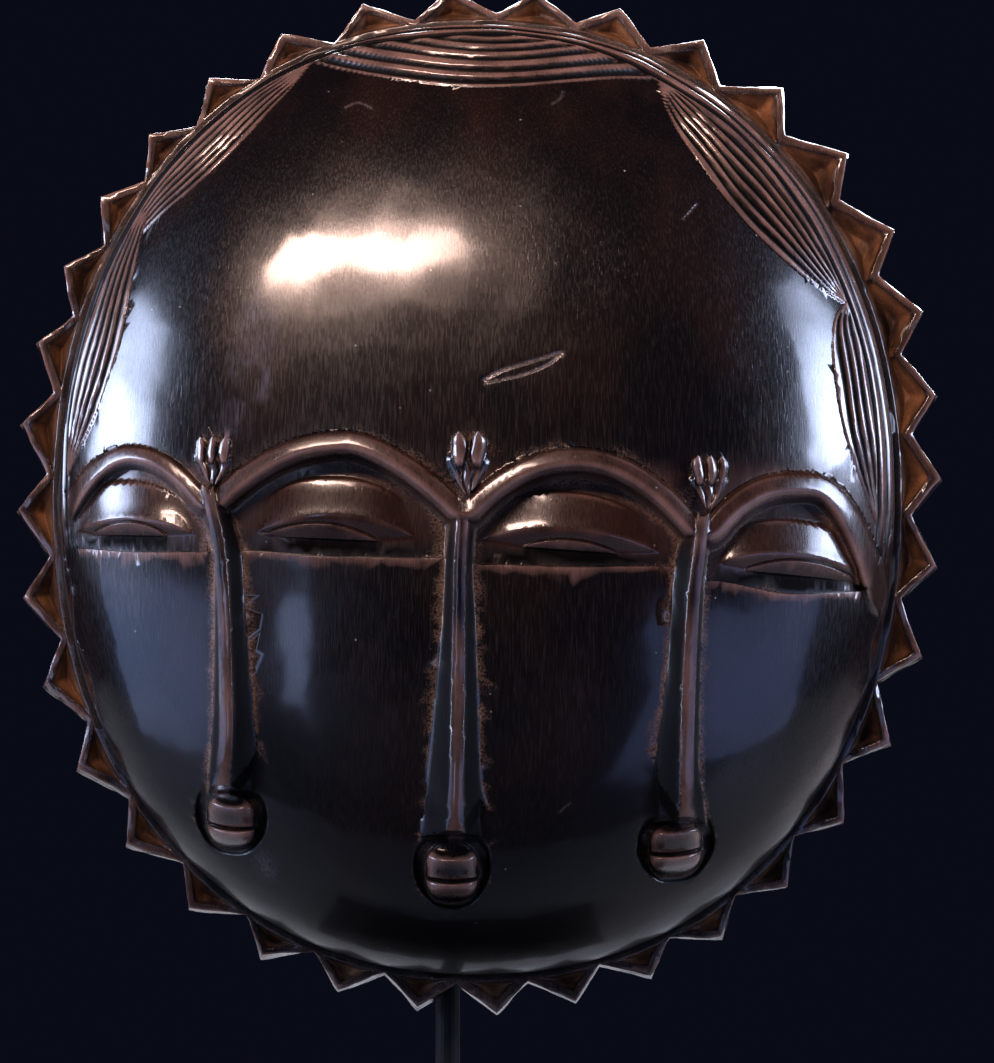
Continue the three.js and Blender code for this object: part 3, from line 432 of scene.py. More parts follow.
def front_height(u, v):
    rho = rho_of(u, v)
    wf, wc = forehead(rho), cheek(rho, v)
    x, y = sheet(u, v, mix(wc, wf, ease(-20, 40, v)))
    w = wf.copy()
    k = y >= 400
    if not k.any():
        return w
    x, y, rho_k, wfk, wck = x[k], y[k], rho[k], wf[k], wc[k]
    fade = ease(1, 0.93, rho_k)
    e, band = np.full(len(x), -1e3), np.full(len(x), 27.0)
    near = y <= 640
    if near.any():
        e[near], band[near] = brow_distance(x[near], y[near])
    above = wfk + fade * tuft_height(x, y)
    t = -e * 26 / band
    brow = wfk + fade * along([0, 2.5, 4.5, 10, 15.5, 18.5, 21, 25, 30, 40, 60], [-0.9, 0.35, 1.20, 1.85, 2.25, 1.9, 0.6, -4.6, -11.0, -22, -40], t)
    panel = wck + fade * (eye_height(x, y) + mouth_height(x, y))
    nose = wck + fade * nose_height(x, y)
    below = soft_max(nose, panel, 0.8)
    below = np.where(t < 60, soft_max(below, brow, 1.0), below)
    w[k] = np.maximum(np.where(e > 0, above, below), RIM)
    return w


BAND_LINES = [smooth_line(b["line"]) for b in BANDS]


def ribbon_from(x):
    """Where the ribbon of long grooves round the dome's foot begins, as a share of the dome's radius."""
    return 0.976 - 0.014 * ease(330, 420, x) - 0.014 * ease(560, 700, x)


def hair(x, y, rho):
    """Relief of the hair in millimetres, how deep in a groove (0 to 1), and how much hair (0 to 1)."""
    h, cut, amount = np.zeros(len(x)), np.zeros(len(x)), np.zeros(len(x))
    k = np.where((rho > 0.5) & (y < 600))[0]
    if not len(k):
        return h, cut, amount
    xk, yk, rk = x[k], y[k], rho[k]
    hk, ck, ak = np.zeros(len(k)), np.zeros(len(k)), np.zeros(len(k))
    edge = ribbon_from(xk)
    out = (edge - rk) * 444.0
    for b, pts in zip(BANDS, BAND_LINES):
        d, side, place, total = line_distance(xk, yk, pts)
        middle = pts[len(pts) // 2]
        want = np.sign((middle[1] - SHEET_Y) * 0 + 1)
        # the hair lies on the side of the line away from the middle of the face
        (ax, ay), (bx, by) = pts[len(pts) // 2 - 1], pts[len(pts) // 2]
        away = np.sign((ay - SHEET_Y) * (bx - ax) - (ax - SHEET_X) * (by - ay)) * want
        inside = (side * away > 0) & (place >= 0) & (place <= total) & (out > -2)
        band = ease(-0.4, 2.2, d) * ease(-1.5, 1.5, out)
        if "offsets" in b:
            g = np.full(len(xk), 99.0)
            for o in b["offsets"]:
                g = np.minimum(g, np.abs(d - o * (1 - 0.03 * np.sin(xk / 37.0))))
            pitch = np.interp(d, [0, 30, 60], [11.5, 8.5, 6.5])
        else:
            width = d + np.maximum(out, 0)
            pitch = width / b["count"]
            c = d / np.maximum(width, 1e-6) * b["count"] + 0.10 * np.sin(place / 23.0 + d / 9.0)
            g = np.abs(c - np.round(c)) * pitch
            g = np.where((c < 0.5) & (d > 1), 99, g)
        groove = (0.5 + 0.5 * np.cos(np.pi * np.minimum(g / (pitch * 0.5), 1))) ** 1.25
        deep = b["depth"] * np.minimum(pitch / 8.0, 1.2) * ease(1.6, 5.0, pitch)
        rise = 0.5 * band - deep * groove * band
        hk = np.where(inside, rise, hk)
        ck = np.where(inside, groove * band * ease(1.6, 5.0, pitch), ck)
        ak = np.where(inside, band, ak)
    # the ribbon of long grooves that runs round the dome's foot over the bands
    reach = ease(575, 500, yk) * ease(-6, -1, out)
    ribbon = np.zeros(len(k))
    for share, wide in ((0.0, 0.0044), (0.42, 0.0040), (0.78, 0.0030)):
        r = edge + (1 - edge) * share
        ribbon = np.maximum(ribbon, np.exp(-((rk - r - 0.0015 * np.sin(xk / 41.0 + yk / 57.0 + share * 9)) / wide) ** 2))
    on = ease(-0.010, -0.002, rk - edge) * ease(575, 500, yk)
    hk = hk * (1 - on) + on * (0.95 - 1.25 * ribbon) + (1 - on) * 0
    ck = np.maximum(ck * (1 - on), on * ribbon)
    ak = np.maximum(ak, on)
    h[k], cut[k], amount[k] = hk, ck, ak
    return h, cut, amount


# ------------------------------------------------------------------ shape: grids
DOME_COLUMNS, DOME_ROWS, LEVELS = 20, 10, 8
F = 1 << LEVELS


def dome_plan(i, j):
    turn = 2 * np.pi * i / (DOME_COLUMNS * F)
    foot = dome_radius(turn)
    s = np.minimum(j / (DOME_ROWS * F), 1)
    r = s * (2 - s)
    return foot * np.sin(turn) * r, mix(POLE_V, foot * np.cos(turn), r), j / (DOME_ROWS * F) - 1


def dome_point(i, j):
    """Place on the carved front for a place in its grid; rows past the last go under the ledge."""
    u, v, over = dome_plan(i, j)
    rho = np.minimum(rho_of(u, v), 1)
    w = front_height(u, v)
    w = np.where(over >= 0, RIM, w)
    x, y = sheet(u, v, w)
    k = 85 * rho ** 1.5
    a, b = np.abs((u - DOME_U) / DOME_A), np.abs((v - DOME_V) / DOME_B)
    safe = np.maximum(rho, 1e-6)
    gu = np.sign(u - DOME_U) * a ** (SQUARE - 1) / DOME_A * safe ** (1 - SQUARE)
    gv = np.sign(v - DOME_V) * b ** (SQUARE - 1) / DOME_B * safe ** (1 - SQUARE)
    n = np.stack([k * gu, k * gv, np.sqrt(np.maximum(1 - rho ** 2.5, 1e-6))])
    n /= np.linalg.norm(n, axis=0)
    h, _, _ = hair(x, y, rho)
    h = h + 0.12 * waves((u, v * 0.8, w), 24.0, 5) + 0.03 * waves((u, v, w), 9.0, 6) - scratch_depth(x, y)
    h = h * ease(1.0, 0.985, rho)
    p = np.stack([u + n[0] * h, v + n[1] * h, w + n[2] * h], 1)
    p[:, 2] -= np.maximum(over, 0) * 24.0
    return p


def refine(point, ni, nj, floor, tolerance, wrap, least):
    """Cells of an ni by nj grid, halved both ways where the carved surface leaves the flat cell."""
    NI, NJ = ni * F, nj * F
    split = []
    cells = np.stack(np.meshgrid(np.arange(ni), np.arange(nj), indexing="ij"), -1).reshape(-1, 2)
    for L in range(LEVELS):
        flags = np.zeros((nj << L, ni << L), bool)
        if len(cells):
            s = F >> L
            h = s // 2
            offs = [(0, 0), (s, 0), (s, s), (0, s), (h, 0), (s, h), (h, s), (0, h), (h, h)]
            keys = np.stack([(cells[:, 1] * s + oj) * (NI + 1) + cells[:, 0] * s + oi for oi, oj in offs], 1)
            uniq, inv = np.unique(keys, return_inverse=True)
            inv = inv.reshape(keys.shape)
            P = point((uniq % (NI + 1)).astype(float), (uniq // (NI + 1)).astype(float))
            q = [P[inv[:, m]] for m in range(9)]
            n = np.cross(q[2] - q[0], q[3] - q[1])
            n /= np.maximum(np.linalg.norm(n, axis=1, keepdims=True), 1e-9)
            err = np.zeros(len(cells))
            for mid, flat in ((4, (q[0] + q[1]) / 2), (5, (q[1] + q[2]) / 2), (6, (q[2] + q[3]) / 2),
                              (7, (q[3] + q[0]) / 2), (8, (q[0] + q[1] + q[2] + q[3]) / 4)):
                err = np.maximum(err, np.abs(((q[mid] - flat) * n).sum(1)))
            size = np.maximum(np.linalg.norm(q[2] - q[0], axis=1), np.linalg.norm(q[3] - q[1], axis=1))
            side = np.minimum(np.linalg.norm(q[1] - q[0], axis=1), np.linalg.norm(q[3] - q[0], axis=1))
            want = (err > tolerance) & (side > least) | (floor(q[8], size) > 0)
            want &= size > 0.4
            flags[cells[want, 1], cells[want, 0]] = True
            c = cells[want] * 2
            cells = np.concatenate([c, c + [1, 0], c + [0, 1], c + [1, 1]])
        split.append(flags)
    for L in range(LEVELS - 2, -1, -1):
        f = split[L + 1]
        g = f.copy()
        g[1:] |= f[:-1]
        g[:-1] |= f[1:]
        e = g.copy()
        e[:, 1:] |= g[:, :-1]
        e[:, :-1] |= g[:, 1:]
        if wrap:
            e[:, 0] |= g[:, -1]
            e[:, -1] |= g[:, 0]
        split[L] |= e.reshape(nj << L, 2, ni << L, 2).any((1, 3))
    tris, quads = [], []
    exist = np.ones((nj, ni), bool)
    for L in range(LEVELS + 1):
        f = split[L] if L < LEVELS else np.zeros((nj << L, ni << L), bool)
        leaf = exist & ~f
        j, i = np.nonzero(leaf)
        s = F >> L
        h = s // 2
        pad = np.zeros((f.shape[0] + 2, f.shape[1] + 2), bool)
        pad[1:-1, 1:-1] = f
        if wrap:
            pad[1:-1, 0], pad[1:-1, -1] = f[:, -1], f[:, 0]
        up, dn, lf, rt = pad[j, i + 1], pad[j + 2, i + 1], pad[j + 1, i], pad[j + 1, i + 2]

        def key(a, b):
            a = a % NI if wrap else a
            return b * (NI + 1) + a
        x, y = i * s, j * s
        c = [key(x, y), key(x + s, y), key(x + s, y + s), key(x, y + s)]
        plain = ~(up | dn | lf | rt)
        quads.append(np.stack([k[plain] for k in c], 1))
        m = ~plain
        if m.any():
            mid = key(x + h, y + h)[m]
            edges = ((0, 1, key(x + h, y), up), (1, 2, key(x + s, y + h), rt), (2, 3, key(x + h, y + s), dn), (3, 0, key(x, y + h), lf))
            for a, b, hang, has in edges:
                has = has[m]
                ka, kb, kh = c[a][m], c[b][m], hang[m]
                tris.append(np.stack([mid[~has], ka[~has], kb[~has]], 1))
                tris.append(np.stack([mid[has], ka[has], kh[has]], 1))
                tris.append(np.stack([mid[has], kh[has], kb[has]], 1))
        exist = np.repeat(np.repeat(f, 2, 0), 2, 1) if L < LEVELS else None
    quads = np.concatenate(quads)
    tris = np.concatenate(tris) if tris else np.zeros((0, 3), int)
    uniq, inv = np.unique(np.concatenate([quads.ravel(), tris.ravel()]), return_inverse=True)
    Q = inv[:quads.size].reshape(-1, 4)
    T = inv[quads.size:].reshape(-1, 3)
    return (uniq % (NI + 1)).astype(float), (uniq // (NI + 1)).astype(float), Q, T


def grid_normals(point, i, j, NI, NJ, step=0.25):
    a, b = point(i - step, j), point(i + step, j)
    c, d = point(i, np.maximum(j - step, 0)), point(i, np.minimum(j + step, NJ))
    n = np.cross(b - a, d - c)
    return n / np.maximum(np.linalg.norm(n, axis=1, keepdims=True), 1e-12)


def to_row(p):
    return np.stack([MASK_X + p[:, 0], MASK_Y - p[:, 2], MASK_Z + p[:, 1]], 1) / 1000


def turn_row(n):
    return np.stack([n[:, 0], -n[:, 2], n[:, 1]], 1)


def build(name, points, normals, quads, tris, layers):
    """One mesh from quads and triangles, with its own normals and painted layers."""
    n = normals
    keep = np.ones(len(quads), bool)
    for a in range(4):
        keep &= quads[:, a] != quads[:, (a + 1) % 4]
    bad = quads[~keep]
    extra = []
    for row in bad:
        r = [int(row[k]) for k in range(4) if row[k] != row[(k + 1) % 4]]
        if len(set(r)) == 3:
            extra.append(r)
    quads = quads[keep]
    d02 = (n[quads[:, 0]] * n[quads[:, 2]]).sum(1)
    d13 = (n[quads[:, 1]] * n[quads[:, 3]]).sum(1)
    first = d02 >= d13
    t = np.concatenate([
        quads[first][:, [0, 1, 2]], quads[first][:, [0, 2, 3]],
        quads[~first][:, [1, 2, 3]], quads[~first][:, [1, 3, 0]],
        tris, np.array(extra, int).reshape(-1, 3)])
    t = t[(t[:, 0] != t[:, 1]) & (t[:, 1] != t[:, 2]) & (t[:, 2] != t[:, 0])]
    me = bpy.data.meshes.new(name)
    me.vertices.add(len(points))
    me.vertices.foreach_set("co", points.astype(np.float32).ravel())
    me.loops.add(t.size)
    me.loops.foreach_set("vertex_index", t.astype(np.int32).ravel())
    me.polygons.add(len(t))
    me.polygons.foreach_set("loop_start", np.arange(0, t.size, 3, dtype=np.int32))
    me.polygons.foreach_set("loop_total", np.full(len(t), 3, np.int32))
    me.update(calc_edges=True)
    me.validate()
    me.polygons.foreach_set("use_smooth", np.ones(len(me.polygons), bool))
    me.normals_split_custom_set_from_vertices([tuple(x) for x in n])
    for key, values in layers.items():
        a = me.attributes.new(key, "FLOAT", "POINT")
        a.data.foreach_set("value", values.astype(np.float32))
    ob = bpy.data.objects.new(name, me)
    bpy.context.scene.collection.objects.link(ob)
    print("MESH", name, len(points), len(t))
    return ob


def blurred(a, sigma):
    """Gaussian blur by rows and columns."""
    r = int(3 * sigma) + 1
    k = np.exp(-0.5 * (np.arange(-r, r + 1) / sigma) ** 2)
    k /= k.sum()
    for axis in (0, 1):
        pad = [(r, r) if x == axis else (0, 0) for x in (0, 1)]
        b = np.pad(a, pad, mode="edge")
        out = np.zeros_like(a)
        for m in range(2 * r + 1):
            out += k[m] * (b[m:m + a.shape[0]] if axis == 0 else b[:, m:m + a.shape[1]])
        a = out
    return a


# ------------------------------------------------------------------ the carved front
def dome_floor(p, size):
    u, v, w = p[:, 0], p[:, 1], p[:, 2]
    x, y = sheet(u, v, w)
    rho = rho_of(u, v)
    _, _, amount = hair(x, y, np.minimum(rho, 1))
    need = np.where(amount > 0.02, 2.0, 5.0)
    mark = (x > 478) & (x < 568) & (y > 346) & (y < 387)
    for pts in NICKS:
        mark |= (np.abs(x - pts[:, 0].mean()) < 12) & (np.abs(y - pts[:, 1].mean()) < 10)
    mark |= (np.abs(x - 850) < 22) & (np.abs(y - 306) < 26)
    need = np.where(mark, 0.9, need)
    face = (y > 425) & (y < 600)
    need = np.where(face, np.minimum(need, 2.0), need)
    for e in EYES:
        slit = mix(e["yl"], e["yr"], (x - e["xl"]) / (e["xr"] - e["xl"]))
        hw = np.where(x < e["xa"], e["xa"] - e["xl"], e["xr"] - e["xa"])
        xi = np.abs(x - e["xa"]) / hw
        edge = slit - e["edge"] * (1 - np.minimum(xi, 1) ** 2.2)
        lx = (x - (e["la"] + e["lb"]) / 2) / ((e["lb"] - e["la"]) / 2)
        ltop = slit - 1.5 - e["lens"] * (1 - np.minimum(lx * lx, 1))
        line = ((np.abs(y - edge) < 3.5) & (xi < 0.99)) | ((np.abs(y - ltop) < 2.5) & (np.abs(lx) < 1)) | ((np.abs(y - slit) < 3) & (xi < 1))
        need = np.where(line, 0.55, need)
    need = np.where((y > 600) & (y < 910) & ((np.abs(x - 232) < 42) | (np.abs(x - 455) < 45) | (np.abs(x - 675) < 42)), 2.0, need)
    return (size > need).astype(float)


dome_i, dome_j, Q, T = refine(dome_point, DOME_COLUMNS, DOME_ROWS + 1, dome_floor, 0.12, True, 0.62)
D = dome_point(dome_i, dome_j)
DN = grid_normals(dome_point, dome_i, dome_j, DOME_COLUMNS * F, (DOME_ROWS + 1) * F)
pole = dome_j == 0
if pole.any():
    e = 0.05
    pu, pv = np.zeros(1), np.full(1, POLE_V)
    du = (front_height(pu + e, pv) - front_height(pu - e, pv)) / (2 * e)
    dv = (front_height(pu, pv + e) - front_height(pu, pv - e)) / (2 * e)
    DN[pole] = np.array([-du[0], -dv[0], 1.0]) / math.sqrt(du[0] ** 2 + dv[0] ** 2 + 1)
    first = np.nonzero(pole)[0][0]
    swap = np.arange(len(D))
    swap[pole] = first
    Q, T = swap[Q], swap[T]

# Relief against its own blur, on the layout sheet: hollows are positive, ridges negative.
GRID = 0.4
gu = np.arange(-150, 150, GRID)
gv = np.arange(-165, 60, GRID)
U, V = np.meshgrid(gu, gv)
H = front_height(U.ravel(), V.ravel()).reshape(U.shape)
hollow_fine = blurred(H, 1.0 / GRID) - H
hollow_wide = blurred(H, 3.2 / GRID) - H


def from_sheet(a, u, v):
    x = np.clip((u - gu[0]) / GRID, 0, a.shape[1] - 1.001)
    y = np.clip((v - gv[0]) / GRID, 0, a.shape[0] - 1.001)
    i, j = x.astype(int), y.astype(int)
    fx, fy = x - i, y - j
    return (a[j, i] * (1 - fx) * (1 - fy) + a[j, i + 1] * fx * (1 - fy) + a[j + 1, i] * (1 - fx) * fy + a[j + 1, i + 1] * fx * fy)


pu, pv, _ = dome_plan(dome_i, dome_j)
prho = np.minimum(rho_of(pu, pv), 1)
px, py = sheet(D[:, 0], D[:, 1], D[:, 2])
_, groove, tress = hair(px, py, prho)
inner = ease(0.97, 0.93, prho) * (pv < 50)
fine = from_sheet(hollow_fine, pu, pv) * inner
wide = from_sheet(hollow_wide, pu, pv) * inner
dirt = np.clip(fine / 0.7, 0, 1) * 0.45 + np.clip(wide / 2.0, 0, 1) * 0.30
wear_and_highlight = np.clip(-fine / 0.5, 0, 1) * 0.75 + np.clip(-wide / 2.4, 0, 1) * 0.15
seam, on_nose, painted_shade, near_mouth, ridge = (np.zeros(len(D)) for _ in range(5))
for n in NOSES:
    d, half, room, down = nose_parts(n, px, py)
    on = ease(n["y"][0] + 12, n["y"][0] + 45, py) * ease(n["y"][-1] + 16, n["y"][-1] + 2, py)
    ragged = 1.7 + 0.7 * np.sin(py / 7.0) + 0.6 * np.sin(py / 2.9 + 1)
    seam = np.maximum(seam, 1.3 * on * np.exp(-((d - room - 0.6) / ragged) ** 2))
    seam = np.maximum(seam, 0.45 * on * np.exp(-((d - half) / 0.9) ** 2))
    (ax, ay), (bx, by), (cx, cy) = n["cut"]
    for fx, fy in ((bx, by), (cx, cy)):
        e, _, _, _ = line_distance(px, py, [(ax, ay), (fx, fy)])
        seam = np.maximum(seam, 0.8 * np.exp(-(e / 1.3) ** 2))
    on_nose = np.maximum(on_nose, on * ease(room + 3, room, d))
    # painted shade: the hollow flanks of the noses are painted near black, without gloss
    painted_shade = np.maximum(painted_shade, 0.74 * on * ease(half, half + 2.0, d) * ease(room - 0.5, room - 3.0, d))
    ridge = np.maximum(ridge, on * ease(half - 0.5, half - 2.5, d) * ease(0.10, 0.55, down))
q_near = np.full(len(D), 9.0)
for m in MOUTHS:
    q, dx, dy = mouth_ring(m, px, py)
    side = ease(8, 16, np.abs(dx)) * ease(m["b"] * 1.15, m["b"] * 0.7, dy) * ease(-m["b"] * 1.4, -m["b"] * 1.1, dy)
    side = side * (0.5 + 0.5 * np.sin(py / 3.1 + dx))
    reach = moat_reach(m, dy)
    seam = np.maximum(seam, 0.9 * np.exp(-((q - reach + 0.01) / 0.045) ** 2) * side)
    near_mouth = np.maximum(near_mouth, ease(1.9, 1.7, q) * ease(1.0, 1.1, q))
    q_near = np.minimum(q_near, q)
    # painted shade: the moat round each mouth is painted near black
    painted_shade = np.maximum(painted_shade, 0.95 * ease(reach + 0.02, reach - 0.14, q) * ease(0.97, 1.08, q) * ease(-m["b"] * 0.9, -m["b"] * 0.2, dy))
# a brownish band painted along the crease above the brows
band = np.zeros(len(D))
zone = (py > 400) & (py < 640)
be, _ = brow_distance(px[zone], py[zone])
band[zone] = np.exp(-((be - 4.0) / 4.2) ** 2) * 0.5 + 0.35 * np.exp(-((be + 0.5) / 1.3) ** 2)
brow = np.zeros(len(D))
brow[zone] = ease(0, -3, be) * ease(-30, -20, be)
lids = np.zeros(len(D))
for k, e in enumerate(EYES):
    at = np.clip((px - e["xl"]) / (e["xr"] - e["xl"]), 0, 1)
    slit = mix(e["yl"], e["yr"], (px - e["xl"]) / (e["xr"] - e["xl"]))
    low = np.interp(at, [0, 0.5, 1], e["ledge"]) + 1.0
    high = mix(slit, low - 2.0, np.abs(2 * at - 1) ** 3.5)
    own = ease(-3, 5, px - e["xl"]) * ease(-3, 5, e["xr"] - px)
    # painted shade: the gap between the lids is painted near black
    painted_shade = np.maximum(painted_shade, own * ease(high - 1.0, high + 1.5, py) * ease(low, low - 2.5, py))
    lids = np.maximum(lids, ease(-14, -4, px - e["xl"]) * ease(-14, -4, e["xr"] - px) * ease(slit + 4, slit, py) * ease(460, 474, py))
lids *= inner
seam = np.maximum(seam, band * inner)
dirt = np.clip(np.maximum(dirt * (1 - 0.85 * on_nose), seam) * (1 - painted_shade), 0, 1)
# wear on raised relief, and painted highlight: the lower nose ridges and the hair ribs are painted lighter
wear_and_highlight = np.clip(np.maximum(wear_and_highlight * (1 - 0.6 * on_nose) * (1 - 0.7 * near_mouth), 0.62 * ridge) + tress * ease(0.5, 0.1, groove) * 0.75, 0, 1)
# painted sheen: brows and lids are painted a lighter copper, with a little more roughness and less coat
painted_sheen = np.clip(np.maximum(brow, lids * 0.9), 0, 1) * (1 - on_nose)
# painted shade: the hair grooves are painted near black
painted_shade = np.clip(np.maximum(painted_shade, ease(0.30, 0.75, groove) * tress), 0, 1)
# painted shade: darker towards the chin, less so on the two cheeks, and not on the noses, seams or mouths
lower_face_shade = ease(610, 800, py) * (1 - 0.75 * ease(590, 720, px) * ease(860, 760, py)) * (1 - 0.6 * ease(300, 240, px) * ease(800, 700, py))
painted_shade = np.maximum(painted_shade, 0.38 * lower_face_shade * (1 - on_nose) * (1 - np.clip(seam, 0, 1)) * (1 - near_mouth * (painted_shade > 0.6)) * (q_near > 1.04))
mark = np.zeros(len(D))
for x0, y0, x1, y1, w, k in ((262, 300, 264, 392, 2.8, 0.9), (239, 335, 241, 446, 2.0, 0.6), (227, 420, 226, 450, 2.0, 0.5),
                             (268, 310, 270, 345, 1.8, 0.5), (263, 858, 268, 872, 7.0, 0.5)):
    e, _, _, _ = line_distance(px, py, [(x0, y0), (x1, y1)])
    mark = np.maximum(mark, k * np.exp(-(e / w) ** 2))
cut_a, _, _, _ = line_distance(px, py, SCRATCH[0])
cut_b, _, _, _ = line_distance(px, py, SCRATCH[1])
chip = np.maximum(np.exp(-(cut_a / 1.4) ** 2), 0.8 * np.exp(-(cut_b / 1.3) ** 2))
for pts in NICKS:
    e, _, _, _ = line_distance(px, py, pts)
    chip = np.maximum(chip, 0.3 * np.exp(-(e / 1.1) ** 2))
painted = dict(dirt=dirt, wear_and_highlight=wear_and_highlight, hair=tress, foot=ease(0.93, 1.0, prho), painted_sheen=painted_sheen, painted_shade_layer=painted_shade, mark=mark, chip=chip,
               back=np.zeros(len(D)), pit=np.zeros(len(D)))


def thinned(ob, normals, most):
    """The same form with fewer triangles, most where it bends; the normals stay those of the full form."""
    full = ob.data
    full.calc_loop_triangles()
    count = len(full.loop_triangles)
    co = np.zeros(len(full.vertices) * 3)
    full.vertices.foreach_get("co", co)
    tree = KDTree(len(full.vertices))
    for i, p in enumerate(co.reshape(-1, 3)):
        tree.insert(p, i)
    tree.balance()
    mod = ob.modifiers.new("thin", "DECIMATE")
    mod.ratio = most / count
    thin = bpy.data.meshes.new_from_object(ob.evaluated_get(bpy.context.evaluated_depsgraph_get()))
    ob.modifiers.clear()
    ob.data = thin
    near = [tree.find(v.co)[1] for v in thin.vertices]
    thin.normals_split_custom_set_from_vertices(normals[near])


# ------------------------------------------------------------------ the toothed rim, back and hollow
TOOTH_HASH = np.random.default_rng(11).uniform(-1, 1, (TEETH + 2, 6))
R_ROWS = dict(ledge=1, pit=3, wall=3, back=3, hollow=6)
R_TOTAL = sum(R_ROWS.values())


def rim_sharp(i, j):
    t = i / F - 0.5
    tw = np.mod(t + TEETH, TEETH)
    ox, oy = rim_point(tw, 0.0)
    fx, fy = rim_point(tw, FLARE)
    turn = np.arctan2(ox, oy)
    dr = dome_radius(turn)
    sx, sy = np.sin(turn), np.cos(turn)
    row = j / F
    out = np.zeros((len(t), 3))
    # ledge, from under the dome's foot outwards
    q = np.clip(row, 0, 1)
    lr = mix(dr - 2.0, dr + LEDGE * 0.8, q)
    out[:, 0], out[:, 1], out[:, 2] = lr * sx, lr * sy, RIM
    row = row - 1
    # the cut face of each tooth
    m = row > 0
    q = np.clip(row / R_ROWS["pit"], 0, 1)
    ax, ay = (dr + LEDGE * 0.8) * sx, (dr + LEDGE * 0.8) * sy
    cu, cv = mix(ax, fx, q), mix(ay, fy, q)
    k = np.round(tw)
    tipx, tipy = rim_point(np.mod(k, TEETH), FLARE)
    lx, ly = rim_point(np.mod(k - 0.5 + TEETH, TEETH), FLARE)
    rx, ry = rim_point(np.mod(k + 0.5, TEETH), FLARE)
    hsh = TOOTH_HASH[k.astype(int) % TEETH]

    def off(x0, y0, x1, y1):
        dx, dy = x1 - x0, y1 - y0
        return np.abs((cv - y0) * dx - (cu - x0) * dy) / np.maximum(np.hypot(dx, dy), 1e-6)
    border = 2.25 + 0.4 * hsh[:, 0]
    dl, drr = off(lx, ly, tipx, tipy) - border, off(tipx, tipy, rx, ry) - border
    ds = np.hypot(cu - ax, cv - ay) - 0.7
    deep = np.minimum(np.minimum(dl * (1.45 + 0.3 * hsh[:, 1]), drr * (1.45 + 0.3 * hsh[:, 2])), ds * 1.7)
    deep = np.clip(deep, 0, PIT * (0.88 + 0.12 * hsh[:, 3]))
    out[m, 0], out[m, 1], out[m, 2] = cu[m], cv[m], (RIM - deep)[m]
    row = row - R_ROWS["pit"]
    m = row > 0
    q = np.clip(row / R_ROWS["wall"], 0, 1)
    out[m, 0], out[m, 1], out[m, 2] = mix(fx, ox, q)[m], mix(fy, oy, q)[m], (RIM * (1 - q))[m]
    row = row - R_ROWS["wall"]
    m = row > 0
    mr = dome_radius(turn, 1)
    q = np.clip(row / R_ROWS["back"], 0, 1)
    mx, my = mr * sx, mr * sy
    out[m, 0], out[m, 1], out[m, 2] = mix(ox, mx, q)[m], mix(oy, my, q)[m], 0
    row = row - R_ROWS["back"]
    m = row > 0
    s = 1 - np.clip(row / R_ROWS["hollow"], 0, 1)
    r = s * (2 - s)
    u, v = mx * r, mix(POLE_V, my, r)
    rho = rho_of(u, v, DOME_A - WALL, DOME_B - WALL)
    w = HOLLOW * np.sqrt(np.maximum(0, 1 - rho ** 4))
    out[m, 0], out[m, 1], out[m, 2] = u[m], v[m], w[m]
    return out


def rim_surface(i, j):
    """The sharp rim with its edges worn round by averaging over a small patch."""
    p = np.zeros((len(i), 3))
    total = 0.0
    row = j / F
    edge = (row > 1.2)
    dj = np.where(row < 4, 0.07, np.where(row < 7, 0.10, 0.05)) * F
    dj = np.where((row < 0.15) | (row > R_TOTAL - 0.3), 0, dj)
    for a, wa in ((-1, 0.25), (0, 0.5), (1, 0.25)):
        for b, wb in ((-1, 0.25), (0, 0.5), (1, 0.25)):
            q = rim_sharp(i + a * 0.016 * F, np.clip(j + b * dj, 0, R_TOTAL * F))
            p += wa * wb * q
            total += wa * wb
    p /= total
    u, v, w = p[:, 0], p[:, 1], p[:, 2]
    chips = 0.16 * waves((u, v, w), 7.0, 21) + 0.25 * waves((u, v, w), 17.0, 22)
    fade = ease(0.0, 0.8, row)
    turn = np.arctan2(u, v)
    in_wall = ease(1.5, 4.0, row) * ease(8.5, 7.0, row)
    p[:, 0] += np.sin(turn) * chips * in_wall
    p[:, 1] += np.cos(turn) * chips * in_wall
    p[:, 2] += (0.7 * chips) * ease(0.6, 1.4, row) * ease(5.5, 4.2, row)
    # gouge marks in the hollow, left by a narrow gouge worked inwards
    hollow = ease(R_TOTAL - 5.9, R_TOTAL - 5.2, row)
    if hollow.any():
        cell = 11.0
        a = u / cell + 0.35 * np.sin(v / 17.0)
        b = v / (cell * 1.9) + 0.3 * np.sin(u / 13.0) + 0.5 * (np.floor(a) % 2)
        scallop = (np.abs(a - np.floor(a) - 0.5) * 2) ** 2 + 0.7 * (np.abs(b - np.floor(b) - 0.5) * 2) ** 2
        pole_fade = ease(0.0, 0.6, R_TOTAL - row)
        p[:, 2] -= hollow * pole_fade * (0.55 * scallop + 0.5 * waves((u, v, w), 21.0, 23)) * 0.8
    flat = ease(7.05, 7.5, row) * ease(R_TOTAL - 5.9, R_TOTAL - 6.3, row)
    p[:, 2] += flat * (0.12 * waves((u, v, w), 12.0, 24) + 0.08)
    p[:, 2] = np.where(row >= 7, np.maximum(p[:, 2], 0.0), p[:, 2])
    return p


def rim_floor(p, size):
    hollow = (p[:, 2] > 0.5) & (rho_of(p[:, 0], p[:, 1]) < 0.93)
    return (size > np.where(hollow, 6.0, 3.2)).astype(float)


